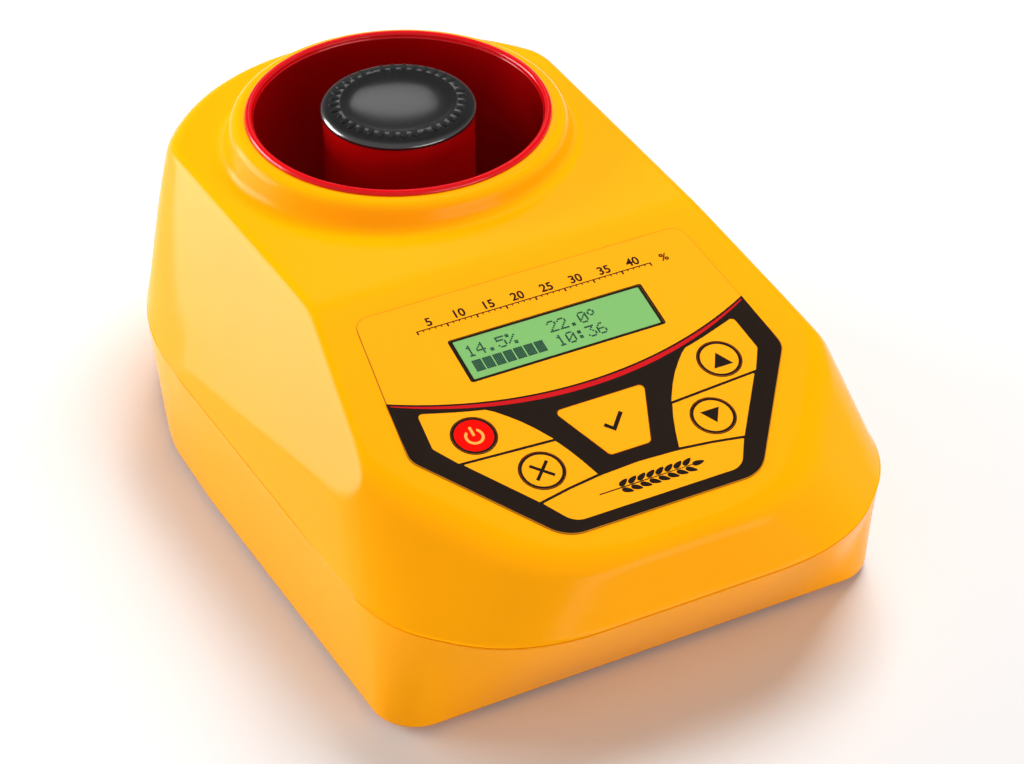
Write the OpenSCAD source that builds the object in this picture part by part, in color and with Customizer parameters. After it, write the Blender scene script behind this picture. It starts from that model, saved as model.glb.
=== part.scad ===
// Bench grain moisture meter: two-shell plastic housing, cylindrical
// measuring chamber with a raised centre electrode, tilted control panel.
// Origin: centre of the footprint at the height of the rubber feet.
// +Z up, -Y towards the user, +X to the user's right. Millimetres.

/* [Housing] */
// Height of the joint between the two housing shells
part_z = 45.4; // [44:0.1:47]
// Height of the flat underside of the base
base_z = 2.4; // [2.2:0.1:3]
// Wall thickness of both shells
wall = 2.8; // [2.4:0.1:3.2]
// Half length of the housing at the joint
half_len = 144.75; // [143:0.25:146]
// Radius of the round rear end at the joint
rear_r = 93; // [92:0.5:94]
// Radius of the round rear end at the top deck
deck_r = 83; // [82:0.5:84]
// Radius of the round rear end at the underside
foot_r = 90.5; // [89:0.5:91]
// Height of the ridge between the deck and the panel
ridge_z = 95.1; // [95:0.1:96]
// Fall of the deck towards the rear, degrees
deck_fall = 2.7; // [2.5:0.1:3.5]
// Tilt of the control panel, degrees
panel_tilt = 13.83; // [13.5:0.01:14]

/* [Measuring chamber] */
// Distance of the chamber axis behind the centre of the footprint
cham_y = 60.1; // [59:0.1:61]
// Height of the rim of the chamber
rim_z = 104.2; // [103.5:0.1:104.6]
// Outer radius of the rim
rim_r = 51.7; // [51.5:0.1:52]
// Inner radius of the chamber at the rim
cup_r = 48.4; // [48:0.1:48.6]
// Depth of the chamber below the rim
cup_depth = 59.7; // [57.2:0.5:60.2]
// Radius of the red sleeve of the centre electrode
sleeve_r = 25.7; // [25:0.1:26]
// Height of the black cap above the rim
cap_rise = 2.9; // [2.8:0.1:3.4]

/* [Control panel] */
// Height of the display centre
disp_z = 86.4; // [86.2:0.1:86.6]
// Thickness of the membrane label
label_t = 0.9; // [0.8:0.05:1.1]
// Depth of the pocket that the label sits in
label_pocket = 0.6; // [0.5:0.05:0.7]
// Radius of the round key pads
key_r = 6.9; // [6.8:0.05:7]
// Clearance round each key pad
key_gap = 0.2; // [0.15:0.05:0.25]
// Travel of a key
key_travel = 0.45; // [0.3:0.05:0.45]

/* [Battery bay] */
// Diameter of one cell
cell_d = 14.5; // [14:0.1:14.5]
// Length of one cell body
cell_len = 49.5; // [49:0.1:49.6]
// Travel of the battery cover
cover_travel = 12; // [8:1:12]

/* [Hidden] */

sy = -56.25;                 // display centre, behind the footprint centre
ridge_y = sy + 35.4;
tp = panel_tilt;
arc_y = 51.75;               // centre of the round rear end at the joint
deck_y = 55.75;              // and at the deck
foot_rim = 1.4;              // depth of the moulded corner pads

// outward unit normals and offsets of the flat faces, right-hand side
n_deck = [0, sin(deck_fall), cos(deck_fall)];
d_deck = n_deck * [0, ridge_y, ridge_z];
n_pan = [0, -sin(tp), cos(tp)];
d_pan = n_pan * [0, sy, disp_z];
n_cha = [0.850, 0.0055, 0.5268];
d_cha = n_cha * [68.1, ridge_y, ridge_z] - 0.2;
n_sid = [0.9650, -0.0537, 0.2567];
d_sid = n_sid * [88.65, sy - 60, part_z];
n_cor = [0.556, -0.5665, 0.6075];
d_cor = n_cor * [78.8, sy - 31, disp_z - 7.8];
n_fro = [0, -0.9605, 0.278];
d_fro = n_fro * [0, -half_len, part_z];

function det3(a, b, c) = a * cross(b, c);
// point that lies r inside three planes
function meet(na, da, nb, db, nc, dc, r) =
  let (a = da - r, b = db - r, c = dc - r, k = det3(na, nb, nc))
  (a * cross(nb, nc) + b * cross(nc, na) + c * cross(na, nb)) / k;
// point at height z that lies r inside two planes, measured in plan
function meet2(na, da, nb, db, z, r) =
  let (la = norm([na[0], na[1]]), lb = norm([nb[0], nb[1]]),
       a = da - na[2] * z - r * la, b = db - nb[2] * z - r * lb,
       k = na[0] * nb[1] - na[1] * nb[0])
  [(a * nb[1] - b * na[1]) / k, (na[0] * b - nb[0] * a) / k, z];

// arcs of the outline of the base at the underside, right-hand side: centre and radius
foot_arc = [[74.2, -104.2, 13.2], [82, 14, 12], [34.3, 40, 60]];

// point list of a polygon whose corner i is rounded to radius r[i]
function rpoly(p, r, n = 8) = [for (i = [0:len(p) - 1])
  let (m = len(p), a = p[(i + m - 1) % m] - p[i], b = p[(i + 1) % m] - p[i],
       u = a / norm(a), v = b / norm(b),
       h = acos(max(-1, min(1, u * v))) / 2, q = (u + v) / norm(u + v),
       c = p[i] + q * r[i] / sin(h),
       s = (u[0] * v[1] - u[1] * v[0]) > 0 ? 1 : -1,
       a0 = atan2(-q[1], -q[0]))
  for (k = [0:n]) let (t = a0 + s * (90 - h) * (1 - 2 * k / n)) c + r[i] * [cos(t), sin(t)]];
function mirror_pts(p) = concat(p, [for (i = [len(p) - 1:-1:0]) [-p[i][0], p[i][1]]]);
function both(r) = concat(r, [for (i = [len(r) - 1:-1:0]) r[i]]);

module at_panel() { translate([0, sy, disp_z]) rotate([tp, 0, 0]) children(); }
module pair() { children(); mirror([1, 0, 0]) children(); }

// convex housing form, every surface o millimetres inside the outer one
module form(o = 0, fn = 32) {
  kk = meet(n_deck, d_deck, n_pan, d_pan, n_cha, d_cha, 5);
  vv = meet(n_pan, d_pan, n_cha, d_cha, n_cor, d_cor, 7);
  ff = meet(n_pan, d_pan, n_cor, d_cor, n_fro, d_fro, 10);
  ee = meet(n_cha, d_cha, n_sid, d_sid, n_cor, d_cor, 6);
  c1 = meet2(n_sid, d_sid, n_cor, d_cor, part_z, 22);
  c2 = meet2(n_cor, d_cor, n_fro, d_fro, part_z, 38);
  hull() {
    pair() {
      translate(kk) sphere(r = 5 - o, $fn = fn);
      translate(vv) sphere(r = 7 - o, $fn = fn);
      translate(ff) sphere(r = 10 - o, $fn = fn);
      translate(ee) sphere(r = 6 - o, $fn = fn);
      translate([83.2, sy + 72, disp_z - 23]) sphere(r = 6 - o, $fn = fn);
      translate(c1) cylinder(r = 22 - o, h = 0.2, center = true, $fn = 48);
      translate(c2) cylinder(r = 38 - o, h = 0.2, center = true, $fn = 48);
      translate([94.6 - 12, sy + 62, part_z]) cylinder(r = 12 - o, h = 0.2, center = true, $fn = 48);
      for (f = foot_arc) {
        translate([f[0], f[1], base_z + 1.6 + o / 2]) cylinder(r = f[2] - o, h = 0.2, $fn = 64);
        translate([f[0], f[1], base_z + o]) cylinder(r = f[2] - 1 - o, h = 0.2, $fn = 64);
      }
    }
    translate([0, deck_y, ridge_z - (deck_y - ridge_y) * tan(deck_fall)]) rotate([-deck_fall, 0, 0])
      translate([0, 0, -7]) rotate_extrude($fn = 96) translate([deck_r - 7, 0]) circle(r = 7 - o, $fn = fn);
    translate([0, 54, disp_z - 20]) cylinder(r = 89.2 - o, h = 0.2, center = true, $fn = 96);
    translate([0, arc_y, part_z]) cylinder(r = rear_r - o, h = 0.2, center = true, $fn = 96);
    translate([0, arc_y, base_z + 1.6 + o / 2]) cylinder(r = foot_r - o, h = 0.2, $fn = 96);
    translate([0, arc_y, base_z + o]) cylinder(r = foot_r - 1 - o, h = 0.2, $fn = 96);
  }
}

// outline of the label, in the plane of the panel
label_half = [[33.05, -72.65], [64.44, -29.9], [57.45, 26.82]];
label_pts = rpoly(mirror_pts(label_half), both([12, 7, 5]), 8);
function trap(g) = rpoly(mirror_pts([[6.9 - g * 0.6, -49.6 + g], [15.6 - g, -28.4 - g]]), both([1.6, 1.6]), 6);

// key centres: on-off, cancel, up, down
key_pos = [[-42.3, -28], [-29, -47.5], [42.5, -28], [29.7, -47.5]];
ok_pos = [0, -38];
screw_post = [[66, -82], [-66, -82], [76, 40], [-76, 40], [44, 120], [-44, 120]];
cham_screw = [for (a = [90, 210, 330]) [56 * cos(a), cham_y + 56 * sin(a)]];
board_post = [[41, -92], [-41, -92], [41, -6], [-41, -6]];
bay = [32, -72, -9];         // half width, front and rear of the battery bay
bay_top = 20.4;
foot_pos = [[73, -101], [-73, -101], [56, 97], [-56, 97]];
cup_floor = rim_z - cup_depth;
probe_xy = [-26, -26];       // temperature probe, from the chamber axis

module top_cover() {
  color([1, 0.76, 0.02]) difference() {
    union() {
      intersection() {
        form(0);
        union() {
          difference() {
            translate([-120, -160, part_z]) cube([240, 320, 80]);
            form(wall, 24);
          }
          for (p = screw_post) translate([p[0], p[1], part_z + 0.4]) cylinder(r = 4.4, h = 60, $fn = 32);
          for (p = cham_screw) translate([p[0], p[1], 78]) cylinder(r = 4, h = 20, $fn = 32);
          at_panel() {
            for (x = [-37.5, 37.5], s = [-15.5, 15.5]) translate([x, s, -8.4]) cylinder(r = 2.5, h = 7, $fn = 32);
            for (x = [-47, 47]) translate([x, -56, -4.6]) cylinder(r = 2.4, h = 3, $fn = 32);
            for (x = [-47, 47]) translate([x, -19.5, -4.6]) cylinder(r = 2.4, h = 3, $fn = 32);
          }
        }
      }
      // conical collar round the chamber
      translate([0, cham_y, 0]) rotate_extrude($fn = 128) polygon(concat(
        [[50.4, 86], [50.4, rim_z - 1.6], [54.2, rim_z - 1.6], [55, rim_z - 1.85], [55.6, rim_z - 2.4]],
        [[56, rim_z - 3.2], [60.9, rim_z - 17], [61, 86]]));
    }
    // hole for the chamber
    translate([0, cham_y, 60]) cylinder(r = 50.4, h = 60, $fn = 128);
    // pilot holes
    for (p = screw_post) translate([p[0], p[1], part_z]) cylinder(r = 1.4, h = 16, $fn = 24);
    for (p = cham_screw) translate([p[0], p[1], 77]) cylinder(r = 1.2, h = 9, $fn = 24);
    at_panel() {
      // label pocket, display opening and key wells
      translate([0, 0, -label_pocket]) linear_extrude(3) polygon(label_pts);
      translate([-33.4, -8.8, -6]) cube([66.8, 17.6, 8]);
      for (p = key_pos) {
        translate([p[0], p[1], -1.1]) cylinder(r = key_r + key_gap, h = 2, $fn = 64);
        translate([p[0], p[1], -6]) cylinder(r = 2.4, h = 8, $fn = 32);
      }
      translate([0, 0, -1.1]) linear_extrude(2) polygon(trap(-key_gap));
      translate([ok_pos[0], ok_pos[1], -6]) cylinder(r = 2.4, h = 8, $fn = 32);
      for (x = [-37.5, 37.5], s = [-15.5, 15.5]) translate([x, s, -9]) cylinder(r = 0.9, h = 6.4, $fn = 24);
      for (x = [-47, 47], s = [-56, -19.5]) translate([x, s, -5]) cylinder(r = 0.8, h = 3, $fn = 24);
    }
  }
}

module bottom_base() {
  color([1, 0.72, 0.02]) difference() {
    union() {
      intersection() {
        form(0);
        union() {
          difference() {
            translate([-120, -160, 0]) cube([240, 320, part_z]);
            form(wall, 16);
          }
          for (p = screw_post) translate([p[0], p[1], base_z]) cylinder(r = 4.4, h = part_z - base_z, $fn = 32);
          for (p = board_post) translate([p[0], p[1], base_z]) cylinder(r = 3.4, h = 26 - base_z, $fn = 32);
          // walls and roof of the battery bay
          difference() {
            translate([-bay[0] - 2, bay[1] - 2, base_z]) cube([2 * bay[0] + 4, bay[2] - bay[1] + 4, bay_top + 2 - base_z]);
            translate([-bay[0], bay[1], base_z - 1]) cube([2 * bay[0], bay[2] - bay[1], bay_top - base_z + 1]);
          }
          // raised floor over the cover slideway
          translate([-bay[0] - 6, bay[1] - 6, base_z]) cube([2 * bay[0] + 12, 6, 5.2]);
          translate([-bay[0] - 6, bay[2], base_z]) cube([2 * bay[0] + 12, cover_travel + 8, 5.2]);
          translate([-bay[0] - 6, bay[1] - 6, base_z]) cube([6, bay[2] - bay[1] + cover_travel + 14, 5.2]);
          translate([bay[0], bay[1] - 6, base_z]) cube([6, bay[2] - bay[1] + cover_travel + 14, 5.2]);
        }
      }
      // tongue that locates the top cover
      difference() {
        union() {
          intersection() { translate([-120, -160, part_z - 4]) cube([240, 320, 4]); form(wall - 0.3, 16); }
          intersection() { translate([-120, -160, part_z - 4]) cube([240, 320, 6.4]); form(wall + 0.3, 16); }
        }
        form(wall + 1.7, 16);
      }
      // moulded pads under the four corners
      pair() {
        translate([0, 0, base_z - foot_rim]) linear_extrude(foot_rim + 1) polygon(rpoly(
          [[58, sy - 57.6], [84.3, sy - 57.6], [85.6, sy - 31], [58, sy - 31]], [3, 16, 3, 3], 8));
        intersection() {
          translate([0, arc_y, base_z - foot_rim]) cylinder(r = foot_r - 2.4, h = foot_rim + 1, $fn = 96);
          translate([44, 84, 0]) cube([40, 27, 6]);
        }
      }
    }
    // screw holes with head wells
    for (p = screw_post) {
      translate([p[0], p[1], base_z - 3]) cylinder(r = 1.75, h = part_z + 8, $fn = 24);
      translate([p[0], p[1], base_z - 3]) cylinder(r = 3.3, h = 33, $fn = 32);
    }
    for (p = board_post) translate([p[0], p[1], 14]) cylinder(r = 1.1, h = 13, $fn = 24);
    // bay opening, cover recess and the two side grooves
    translate([-bay[0], bay[1], base_z - 1]) cube([2 * bay[0], bay[2] - bay[1], 8]);
    translate([-bay[0] - 2.3, bay[1] - 2.3, base_z - 1]) cube([2 * bay[0] + 4.6, bay[2] - bay[1] + 4.6 + cover_travel + 0.4, 3.2]);
    for (s = [-1, 1]) translate([s * (bay[0] + 3) - 1.75, bay[1] + 4, base_z + 0.9])
      cube([3.5, bay[2] - bay[1] - 8 + cover_travel + 4, 1.3]);
    // sockets for the rubber feet
    for (p = foot_pos) translate([p[0], p[1], 0]) cylinder(r = 7.1, h = base_z - foot_rim + 0.8, $fn = 48);
  }
}

module measuring_chamber() {
  color([0.75, 0.03, 0.05]) translate([0, cham_y, 0]) difference() {
    rotate_extrude($fn = 128) polygon(concat(
      [[3.2, cup_floor - 2.6], [50, cup_floor - 2.6], [50, 76], [60, 76], [60, 77.8], [50, 77.8],
       [50, rim_z - 1.6], [rim_r - 0.3, rim_z - 1.6]],
      [for (k = [0:8]) let (a = k * 22.5) [rim_r - 1.5 + 1.5 * cos(a), rim_z - 1.5 + 1.5 * sin(a)]],
      [[cup_r, rim_z - 4], [cup_r - 1.2, cup_floor + 4]],
      [for (k = [0:5]) let (a = -k * 18) [cup_r - 5.2 + 4 * cos(a), cup_floor + 4 + 4 * sin(a)]],
      [[3.2, cup_floor]]));
    for (a = [90, 210, 330]) translate([56 * cos(a), 56 * sin(a), 70]) cylinder(r = 1.7, h = 10, $fn = 24);
    translate([probe_xy[0], probe_xy[1], cup_floor - 5]) cylinder(r = 2.55, h = 10, $fn = 32);
  }
}

module electrode_sleeve() {
  color([0.78, 0.03, 0.05]) translate([0, cham_y, 0]) rotate_extrude($fn = 96) polygon(
    [[23.9, cup_floor], [28, cup_floor], [28, cup_floor + 1.2], [26.6, cup_floor + 2.6], [sleeve_r, cup_floor + 4.2],
     [sleeve_r, rim_z - 0.7], [23.9, rim_z - 0.7]]);
}

module centre_electrode() {
  color([0.8, 0.8, 0.82]) translate([0, cham_y, 0]) rotate_extrude($fn = 96) polygon(
    [[3.3, cup_floor], [23.8, cup_floor], [23.8, rim_z - 6.2], [22.6, rim_z - 6.2], [22.6, cup_floor + 1.5], [3.3, cup_floor + 1.5]]);
}

module electrode_cap() {
  color([0.08, 0.08, 0.09]) translate([0, cham_y, 0]) difference() {
    union() {
      rotate_extrude($fn = 96) polygon(concat(
        [[0, rim_z - 0.7], [26.1, rim_z - 0.7], [26.3, rim_z - 0.5], [26.3, rim_z + cap_rise - 3.2]],
        [for (k = [1:8]) let (a = k * 11.25) [26.3 - 3.2 + 3.2 * cos(a), rim_z + cap_rise - 3.2 + 3.2 * sin(a)]],
        [[18.4, rim_z + cap_rise]],
        [for (k = [0:6]) let (r = 18 - 3 * k) [r, rim_z + cap_rise - 0.6 - 1.1 * (1 - r * r / 324)]]));
      translate([0, 0, rim_z - 6]) cylinder(r = 22.4, h = 5.4, $fn = 96);
      // ring of raised tick marks
      for (a = [0:15:345]) rotate([0, 0, a]) translate([19.4, -0.45, rim_z + cap_rise - 0.4]) cube([2.8, 0.9, 0.75]);
    }
    translate([0, 0, rim_z - 8]) cylinder(r = 2.1, h = 8.2, $fn = 32);
  }
}

module electrode_tie_bolt() {
  color([0.7, 0.7, 0.72]) translate([0, cham_y, 0]) {
    translate([0, 0, cup_floor - 9]) cylinder(r = 2, h = rim_z - cup_floor + 8.6, $fn = 32);
    translate([0, 0, cup_floor - 6.2]) cylinder(r = 4.05, h = 3.2, $fn = 6);
    translate([0, 0, cup_floor - 3]) cylinder(r = 4.6, h = 0.4, $fn = 32);
  }
}

module outer_electrode_band() {
  color([0.78, 0.78, 0.8]) translate([0, cham_y, 50]) difference() {
    cylinder(r = 50.6, h = 24, $fn = 128);
    translate([0, 0, -1]) cylinder(r = 50, h = 26, $fn = 128);
  }
}

module temperature_probe() {
  color([0.75, 0.75, 0.77]) translate([probe_xy[0], cham_y + probe_xy[1], 0]) union() {
    translate([0, 0, cup_floor - 7]) cylinder(r = 2.5, h = 15.5, $fn = 32);
    translate([0, 0, cup_floor + 8.5]) sphere(r = 2.5, $fn = 32);
    translate([0, 0, cup_floor - 5.6]) cylinder(r = 4.4, h = 3, $fn = 6);
  }
}

module chamber_screws() {
  color([0.7, 0.7, 0.72]) for (p = cham_screw) translate([p[0], p[1], 0]) union() {
    translate([0, 0, 75]) cylinder(r = 1.2, h = 10, $fn = 24);
    translate([0, 0, 73.8]) cylinder(r = 2.8, h = 2.2, $fn = 32);
  }
}

module keypad_overlay() {
  color([0.99, 0.72, 0.1]) at_panel() difference() {
    translate([0, 0, -label_pocket]) linear_extrude(label_t) polygon(label_pts);
    translate([-33.4, -8.8, -2]) cube([66.8, 17.6, 4]);
    for (p = key_pos) translate([p[0], p[1], -2]) cylinder(r = key_r + key_gap, h = 4, $fn = 64);
    translate([0, 0, -2]) linear_extrude(4) polygon(trap(-key_gap));
  }
}

module display_window() {
  color([0.55, 0.75, 0.5, 0.5]) at_panel() translate([-33.3, -8.7, -1.7]) cube([66.6, 17.4, 1.9]);
}

// round key: pad in its well with a stem that reaches its dome
module round_key(p) {
  at_panel() translate([p[0], p[1], 0]) union() {
    translate([0, 0, -0.55]) cylinder(r = key_r, h = label_t, $fn = 64);
    translate([0, 0, -3.6]) cylinder(r = 2, h = 3.3, $fn = 32);
  }
}
module on_off_key() { color([0.9, 0.05, 0.05]) round_key(key_pos[0]); }
module cancel_key() { color([0.99, 0.72, 0.1]) round_key(key_pos[1]); }
module up_key() { color([0.99, 0.72, 0.1]) round_key(key_pos[2]); }
module down_key() { color([0.99, 0.72, 0.1]) round_key(key_pos[3]); }
module ok_key() {
  color([0.99, 0.72, 0.1]) at_panel() union() {
    translate([0, 0, -0.55]) linear_extrude(label_t) polygon(trap(0));
    translate([ok_pos[0], ok_pos[1], -3.6]) cylinder(r = 2, h = 3.3, $fn = 32);
  }
}

module key_domes() {
  color([0.8, 0.8, 0.8]) at_panel() for (p = concat(key_pos, [ok_pos])) translate([p[0], p[1], -4.6])
    rotate_extrude($fn = 48) polygon([[0, 0], [4, 0], [4, 0.12], [3.4, 0.2], [2.2, 0.42], [0, 0.5]]);
}

module keypad_board() {
  color([0.05, 0.35, 0.15]) at_panel() difference() {
    translate([0, 0, -6.2]) linear_extrude(1.6) polygon(rpoly(mirror_pts([[30, -60], [50, -58], [52, -18.2]]), both([2, 4, 2]), 4));
    for (x = [-47, 47], s = [-56, -19.5]) translate([x, s, -8]) cylinder(r = 1.2, h = 6, $fn = 24);
  }
}

module keypad_screws() {
  color([0.7, 0.7, 0.72]) at_panel() for (x = [-47, 47], s = [-56, -19.5]) translate([x, s, 0]) union() {
    translate([0, 0, -7]) cylinder(r = 0.8, h = 4.4, $fn = 24);
    translate([0, 0, -7.6]) cylinder(r = 1.9, h = 1.4, $fn = 24);
  }
}

module display_glass() {
  color([0.5, 0.72, 0.45]) at_panel() translate([-34.5, -11, -5.4]) cube([69, 22, 2.3]);
}
module display_bezel() {
  color([0.1, 0.1, 0.1]) at_panel() difference() {
    translate([-35.6, -12.6, -8.4]) cube([71.2, 25.2, 5.5]);
    translate([-32.5, -8, -6]) cube([65, 16, 5]);
    translate([-34.6, -11.1, -8.5]) cube([69.2, 22.2, 5.45]);
  }
}
module display_board() {
  color([0.05, 0.35, 0.15]) at_panel() difference() {
    translate([-40, -18, -10]) cube([80, 36, 1.6]);
    for (x = [-37.5, 37.5], s = [-15.5, 15.5]) translate([x, s, -12]) cylinder(r = 1.25, h = 6, $fn = 24);
  }
}
module display_screws() {
  color([0.7, 0.7, 0.72]) at_panel() for (x = [-37.5, 37.5], s = [-15.5, 15.5]) translate([x, s, 0]) union() {
    translate([0, 0, -11]) cylinder(r = 0.9, h = 6, $fn = 24);
    translate([0, 0, -11.6]) cylinder(r = 2.1, h = 1.6, $fn = 24);
  }
}

// flat cable from the display board down to the main board
module ribbon_cable() {
  color([0.75, 0.75, 0.72]) translate([-12, 0, 0]) rotate([90, 0, 90]) linear_extrude(24) polygon(concat(
    [for (p = ribbon_path) p], [for (i = [len(ribbon_path) - 1:-1:0]) ribbon_path[i] + ribbon_off[i]]));
}
ribbon_path = [[-44, 76.6], [-40, 72], [-36, 66], [-31, 60], [-27, 52], [-26, 44], [-28, 38], [-33, 33.5], [-40, 31.5]];
ribbon_off = [[0.9, 0.5], [0.9, 0.6], [0.9, 0.5], [0.9, 0.4], [0.9, 0.1], [0.9, 0], [0.7, -0.6], [0.4, -0.9], [0, -1]];

module main_board() {
  color([0.05, 0.35, 0.15]) difference() {
    translate([-45, -97, 26]) cube([90, 96, 1.6]);
    for (p = board_post) translate([p[0], p[1], 20]) cylinder(r = 1.7, h = 10, $fn = 24);
  }
}
module board_components() {
  color([0.12, 0.12, 0.13]) {
    translate([-9, -76, 27.6]) cube([18, 18, 2.4]);
    translate([-14, -43.5, 27.6]) cube([28, 8, 2.6]);
    translate([22, -60, 27.6]) cube([10, 7, 2]);
    translate([24, -36, 27.6]) cylinder(r = 4, h = 10, $fn = 32);
    translate([34, -36, 27.6]) cylinder(r = 4, h = 10, $fn = 32);
    translate([-34, -58, 27.6]) cube([12, 10, 4]);
    translate([-32, -40, 27.6]) cube([6, 14, 7]);
    translate([24, -84, 27.6]) cube([11, 5, 4]);
  }
}
module main_board_screws() {
  color([0.7, 0.7, 0.72]) for (p = board_post) translate([p[0], p[1], 0]) union() {
    translate([0, 0, 18]) cylinder(r = 1.1, h = 10, $fn = 24);
    translate([0, 0, 27.6]) cylinder(r = 2.6, h = 1.8, $fn = 24);
  }
}
module buzzer() {
  color([0.1, 0.1, 0.1]) translate([-30, -78, 27.6]) difference() {
    cylinder(r = 6, h = 8.5, $fn = 48);
    translate([0, 0, 5]) cylinder(r = 1, h = 4, $fn = 24);
  }
}

// screened lead from the tie bolt to the main board
module sensor_lead() {
  color([0.12, 0.12, 0.12]) {
    translate([0, cham_y, cup_floor - 7.6]) difference() {
      union() {
        cylinder(r = 4.4, h = 0.8, $fn = 32);
        translate([-2, -12, 0]) cube([4, 12, 0.8]);
      }
      translate([0, 0, -1]) cylinder(r = 2.05, h = 3, $fn = 32);
    }
    translate([0, cham_y - 6.5, 35.4]) rotate([90, 0, 0]) cylinder(r = 1.5, h = cham_y + 1.5, $fn = 24);
    translate([0, -8, 31.4]) rotate([0, -90, 0]) rotate([0, 0, 0]) rotate_extrude(angle = 90, $fn = 32) translate([4, 0]) circle(r = 1.5, $fn = 24);
    translate([0, -12, 27.6]) cylinder(r = 1.5, h = 3.8, $fn = 24);
  }
}

module battery_cells() {
  color([0.2, 0.3, 0.5]) for (i = [0:3]) translate([-22.8 + 15.2 * i, -40.5, 12.4]) rotate([i % 2 == 0 ? 90 : -90, 0, 0]) union() {
    translate([0, 0, -cell_len / 2]) cylinder(r = cell_d / 2, h = cell_len, $fn = 48);
    translate([0, 0, cell_len / 2]) cylinder(r = 2.7, h = 1, $fn = 32);
  }
}
module battery_contacts() {
  color([0.8, 0.8, 0.78]) for (i = [0:3], e = [-1, 1]) {
    translate([-22.8 + 15.2 * i - 5, -40.5 + e * 31.1 - 0.2, 7.4]) cube([10, 0.4, 10]);
    if ((i % 2 == 0) == (e > 0)) for (k = [0:3]) translate([-22.8 + 15.2 * i, -40.5 + e * (30.4 - k * 1.4), 12.4])
      rotate([90, 0, 0]) rotate_extrude($fn = 32) translate([4.2 - k * 0.4, 0]) circle(r = 0.35, $fn = 16);
    else translate([-22.8 + 15.2 * i, -40.5 + e * 28.6, 12.4]) rotate([90, 0, 0]) cylinder(r = 2.2, h = 4.6, center = true, $fn = 32);
  }
}

module battery_cover() {
  color([1, 0.72, 0.02]) difference() {
    union() {
      translate([-bay[0] - 2, bay[1] - 2, base_z]) cube([2 * bay[0] + 4, bay[2] - bay[1] + 4, 2]);
      for (s = [-1, 1], y = [bay[1] + 5, bay[2] - 17]) translate([s * (bay[0] + 3) - 1.45, y, base_z + 1])
        cube([2.9, 12, 1]);
      translate([-14, bay[1] + 3, base_z + 1.9]) cube([28, 1.6, 0.5]);
    }
    for (k = [0:4]) translate([-11, bay[1] + 8 + 2.6 * k, base_z - 0.5]) cube([22, 1.1, 1.1]);
  }
}

module housing_screws() {
  color([0.7, 0.7, 0.72]) for (p = screw_post) translate([p[0], p[1], 0]) union() {
    translate([0, 0, 32.4]) cylinder(r = 1.4, h = part_z + 15 - 32.4, $fn = 24);
    difference() {
      translate([0, 0, 29.9]) cylinder(r = 2.9, h = 2.5, $fn = 32);
      for (a = [0, 90]) rotate([0, 0, a]) translate([-1.6, -0.35, 29]) cube([3.2, 0.7, 2]);
    }
  }
}
module rubber_feet() {
  color([0.1, 0.1, 0.1]) for (p = foot_pos) translate([p[0], p[1], 0]) rotate_extrude($fn = 48)
    polygon([[0, 0], [6.4, 0], [7, 0.5], [7, base_z - foot_rim + 0.8], [0, base_z - foot_rim + 0.8]]);
}

top_cover();
bottom_base();
measuring_chamber();
electrode_sleeve();
centre_electrode();
electrode_cap();
electrode_tie_bolt();
outer_electrode_band();
temperature_probe();
chamber_screws();
keypad_overlay();
display_window();
on_off_key();
cancel_key();
ok_key();
up_key();
down_key();
key_domes();
keypad_board();
keypad_screws();
display_glass();
display_bezel();
display_board();
display_screws();
ribbon_cable();
main_board();
board_components();
main_board_screws();
buzzer();
sensor_lead();
battery_contacts();
battery_cells();
battery_cover();
housing_screws();
rubber_feet();
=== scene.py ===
import math

import bpy
import numpy as np
from mathutils import Matrix, Vector


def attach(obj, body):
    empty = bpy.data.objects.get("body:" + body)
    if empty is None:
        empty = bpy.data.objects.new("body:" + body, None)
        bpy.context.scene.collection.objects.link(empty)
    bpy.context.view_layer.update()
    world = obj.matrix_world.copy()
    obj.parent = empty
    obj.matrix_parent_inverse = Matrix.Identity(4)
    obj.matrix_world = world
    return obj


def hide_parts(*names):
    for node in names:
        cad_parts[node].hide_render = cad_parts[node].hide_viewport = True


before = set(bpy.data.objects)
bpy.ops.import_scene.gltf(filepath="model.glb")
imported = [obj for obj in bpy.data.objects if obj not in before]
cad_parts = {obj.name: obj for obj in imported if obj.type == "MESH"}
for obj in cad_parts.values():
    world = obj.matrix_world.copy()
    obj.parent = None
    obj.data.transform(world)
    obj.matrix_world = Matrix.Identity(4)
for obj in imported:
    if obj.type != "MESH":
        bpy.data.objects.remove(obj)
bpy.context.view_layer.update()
scene = bpy.context.scene
MM = 0.001

# ------------------------------------------------------------------ camera
cam_data = bpy.data.cameras.new("camera")
cam_data.sensor_width = 36.0
cam_data.lens = 101.99
cam_data.clip_start = 0.05
cam_data.clip_end = 20.0
cam = bpy.data.objects.new("camera", cam_data)
scene.collection.objects.link(cam)
c_right = Vector((0.893840124, -0.448353762, -0.005360658))
c_up = Vector((0.275388805, 0.539503058, 0.795674215))
c_fwd = Vector((0.353851436, 0.712681804, -0.605701087))
c_pos = Vector((-335.856, -700.694, 620.396)) * MM
cam.matrix_world = Matrix((
    (c_right.x, c_up.x, -c_fwd.x, c_pos.x),
    (c_right.y, c_up.y, -c_fwd.y, c_pos.y),
    (c_right.z, c_up.z, -c_fwd.z, c_pos.z),
    (0, 0, 0, 1)))
scene.camera = cam
scene.view_settings.view_transform = "Standard"

# ------------------------------------------------------------------ dimensions, in mm
PART = 45.4
BASE = 2.4
CY = 60.1
SY = -56.25
DISP_Z = 86.4
TILT = math.radians(13.83)
RIM = 104.2
WALL = 2.8
FLOOR = 44.5


def panel(x, s, w):
    """Panel coordinates (across, up the panel, out of the panel) to the frame, in mm."""
    return (x, SY + s * math.cos(TILT) - w * math.sin(TILT), DISP_Z + s * math.sin(TILT) + w * math.cos(TILT))


PANEL_M = Matrix.Translation(Vector((0, SY, DISP_Z)) * MM) @ Matrix.Rotation(TILT, 4, "X")


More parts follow.
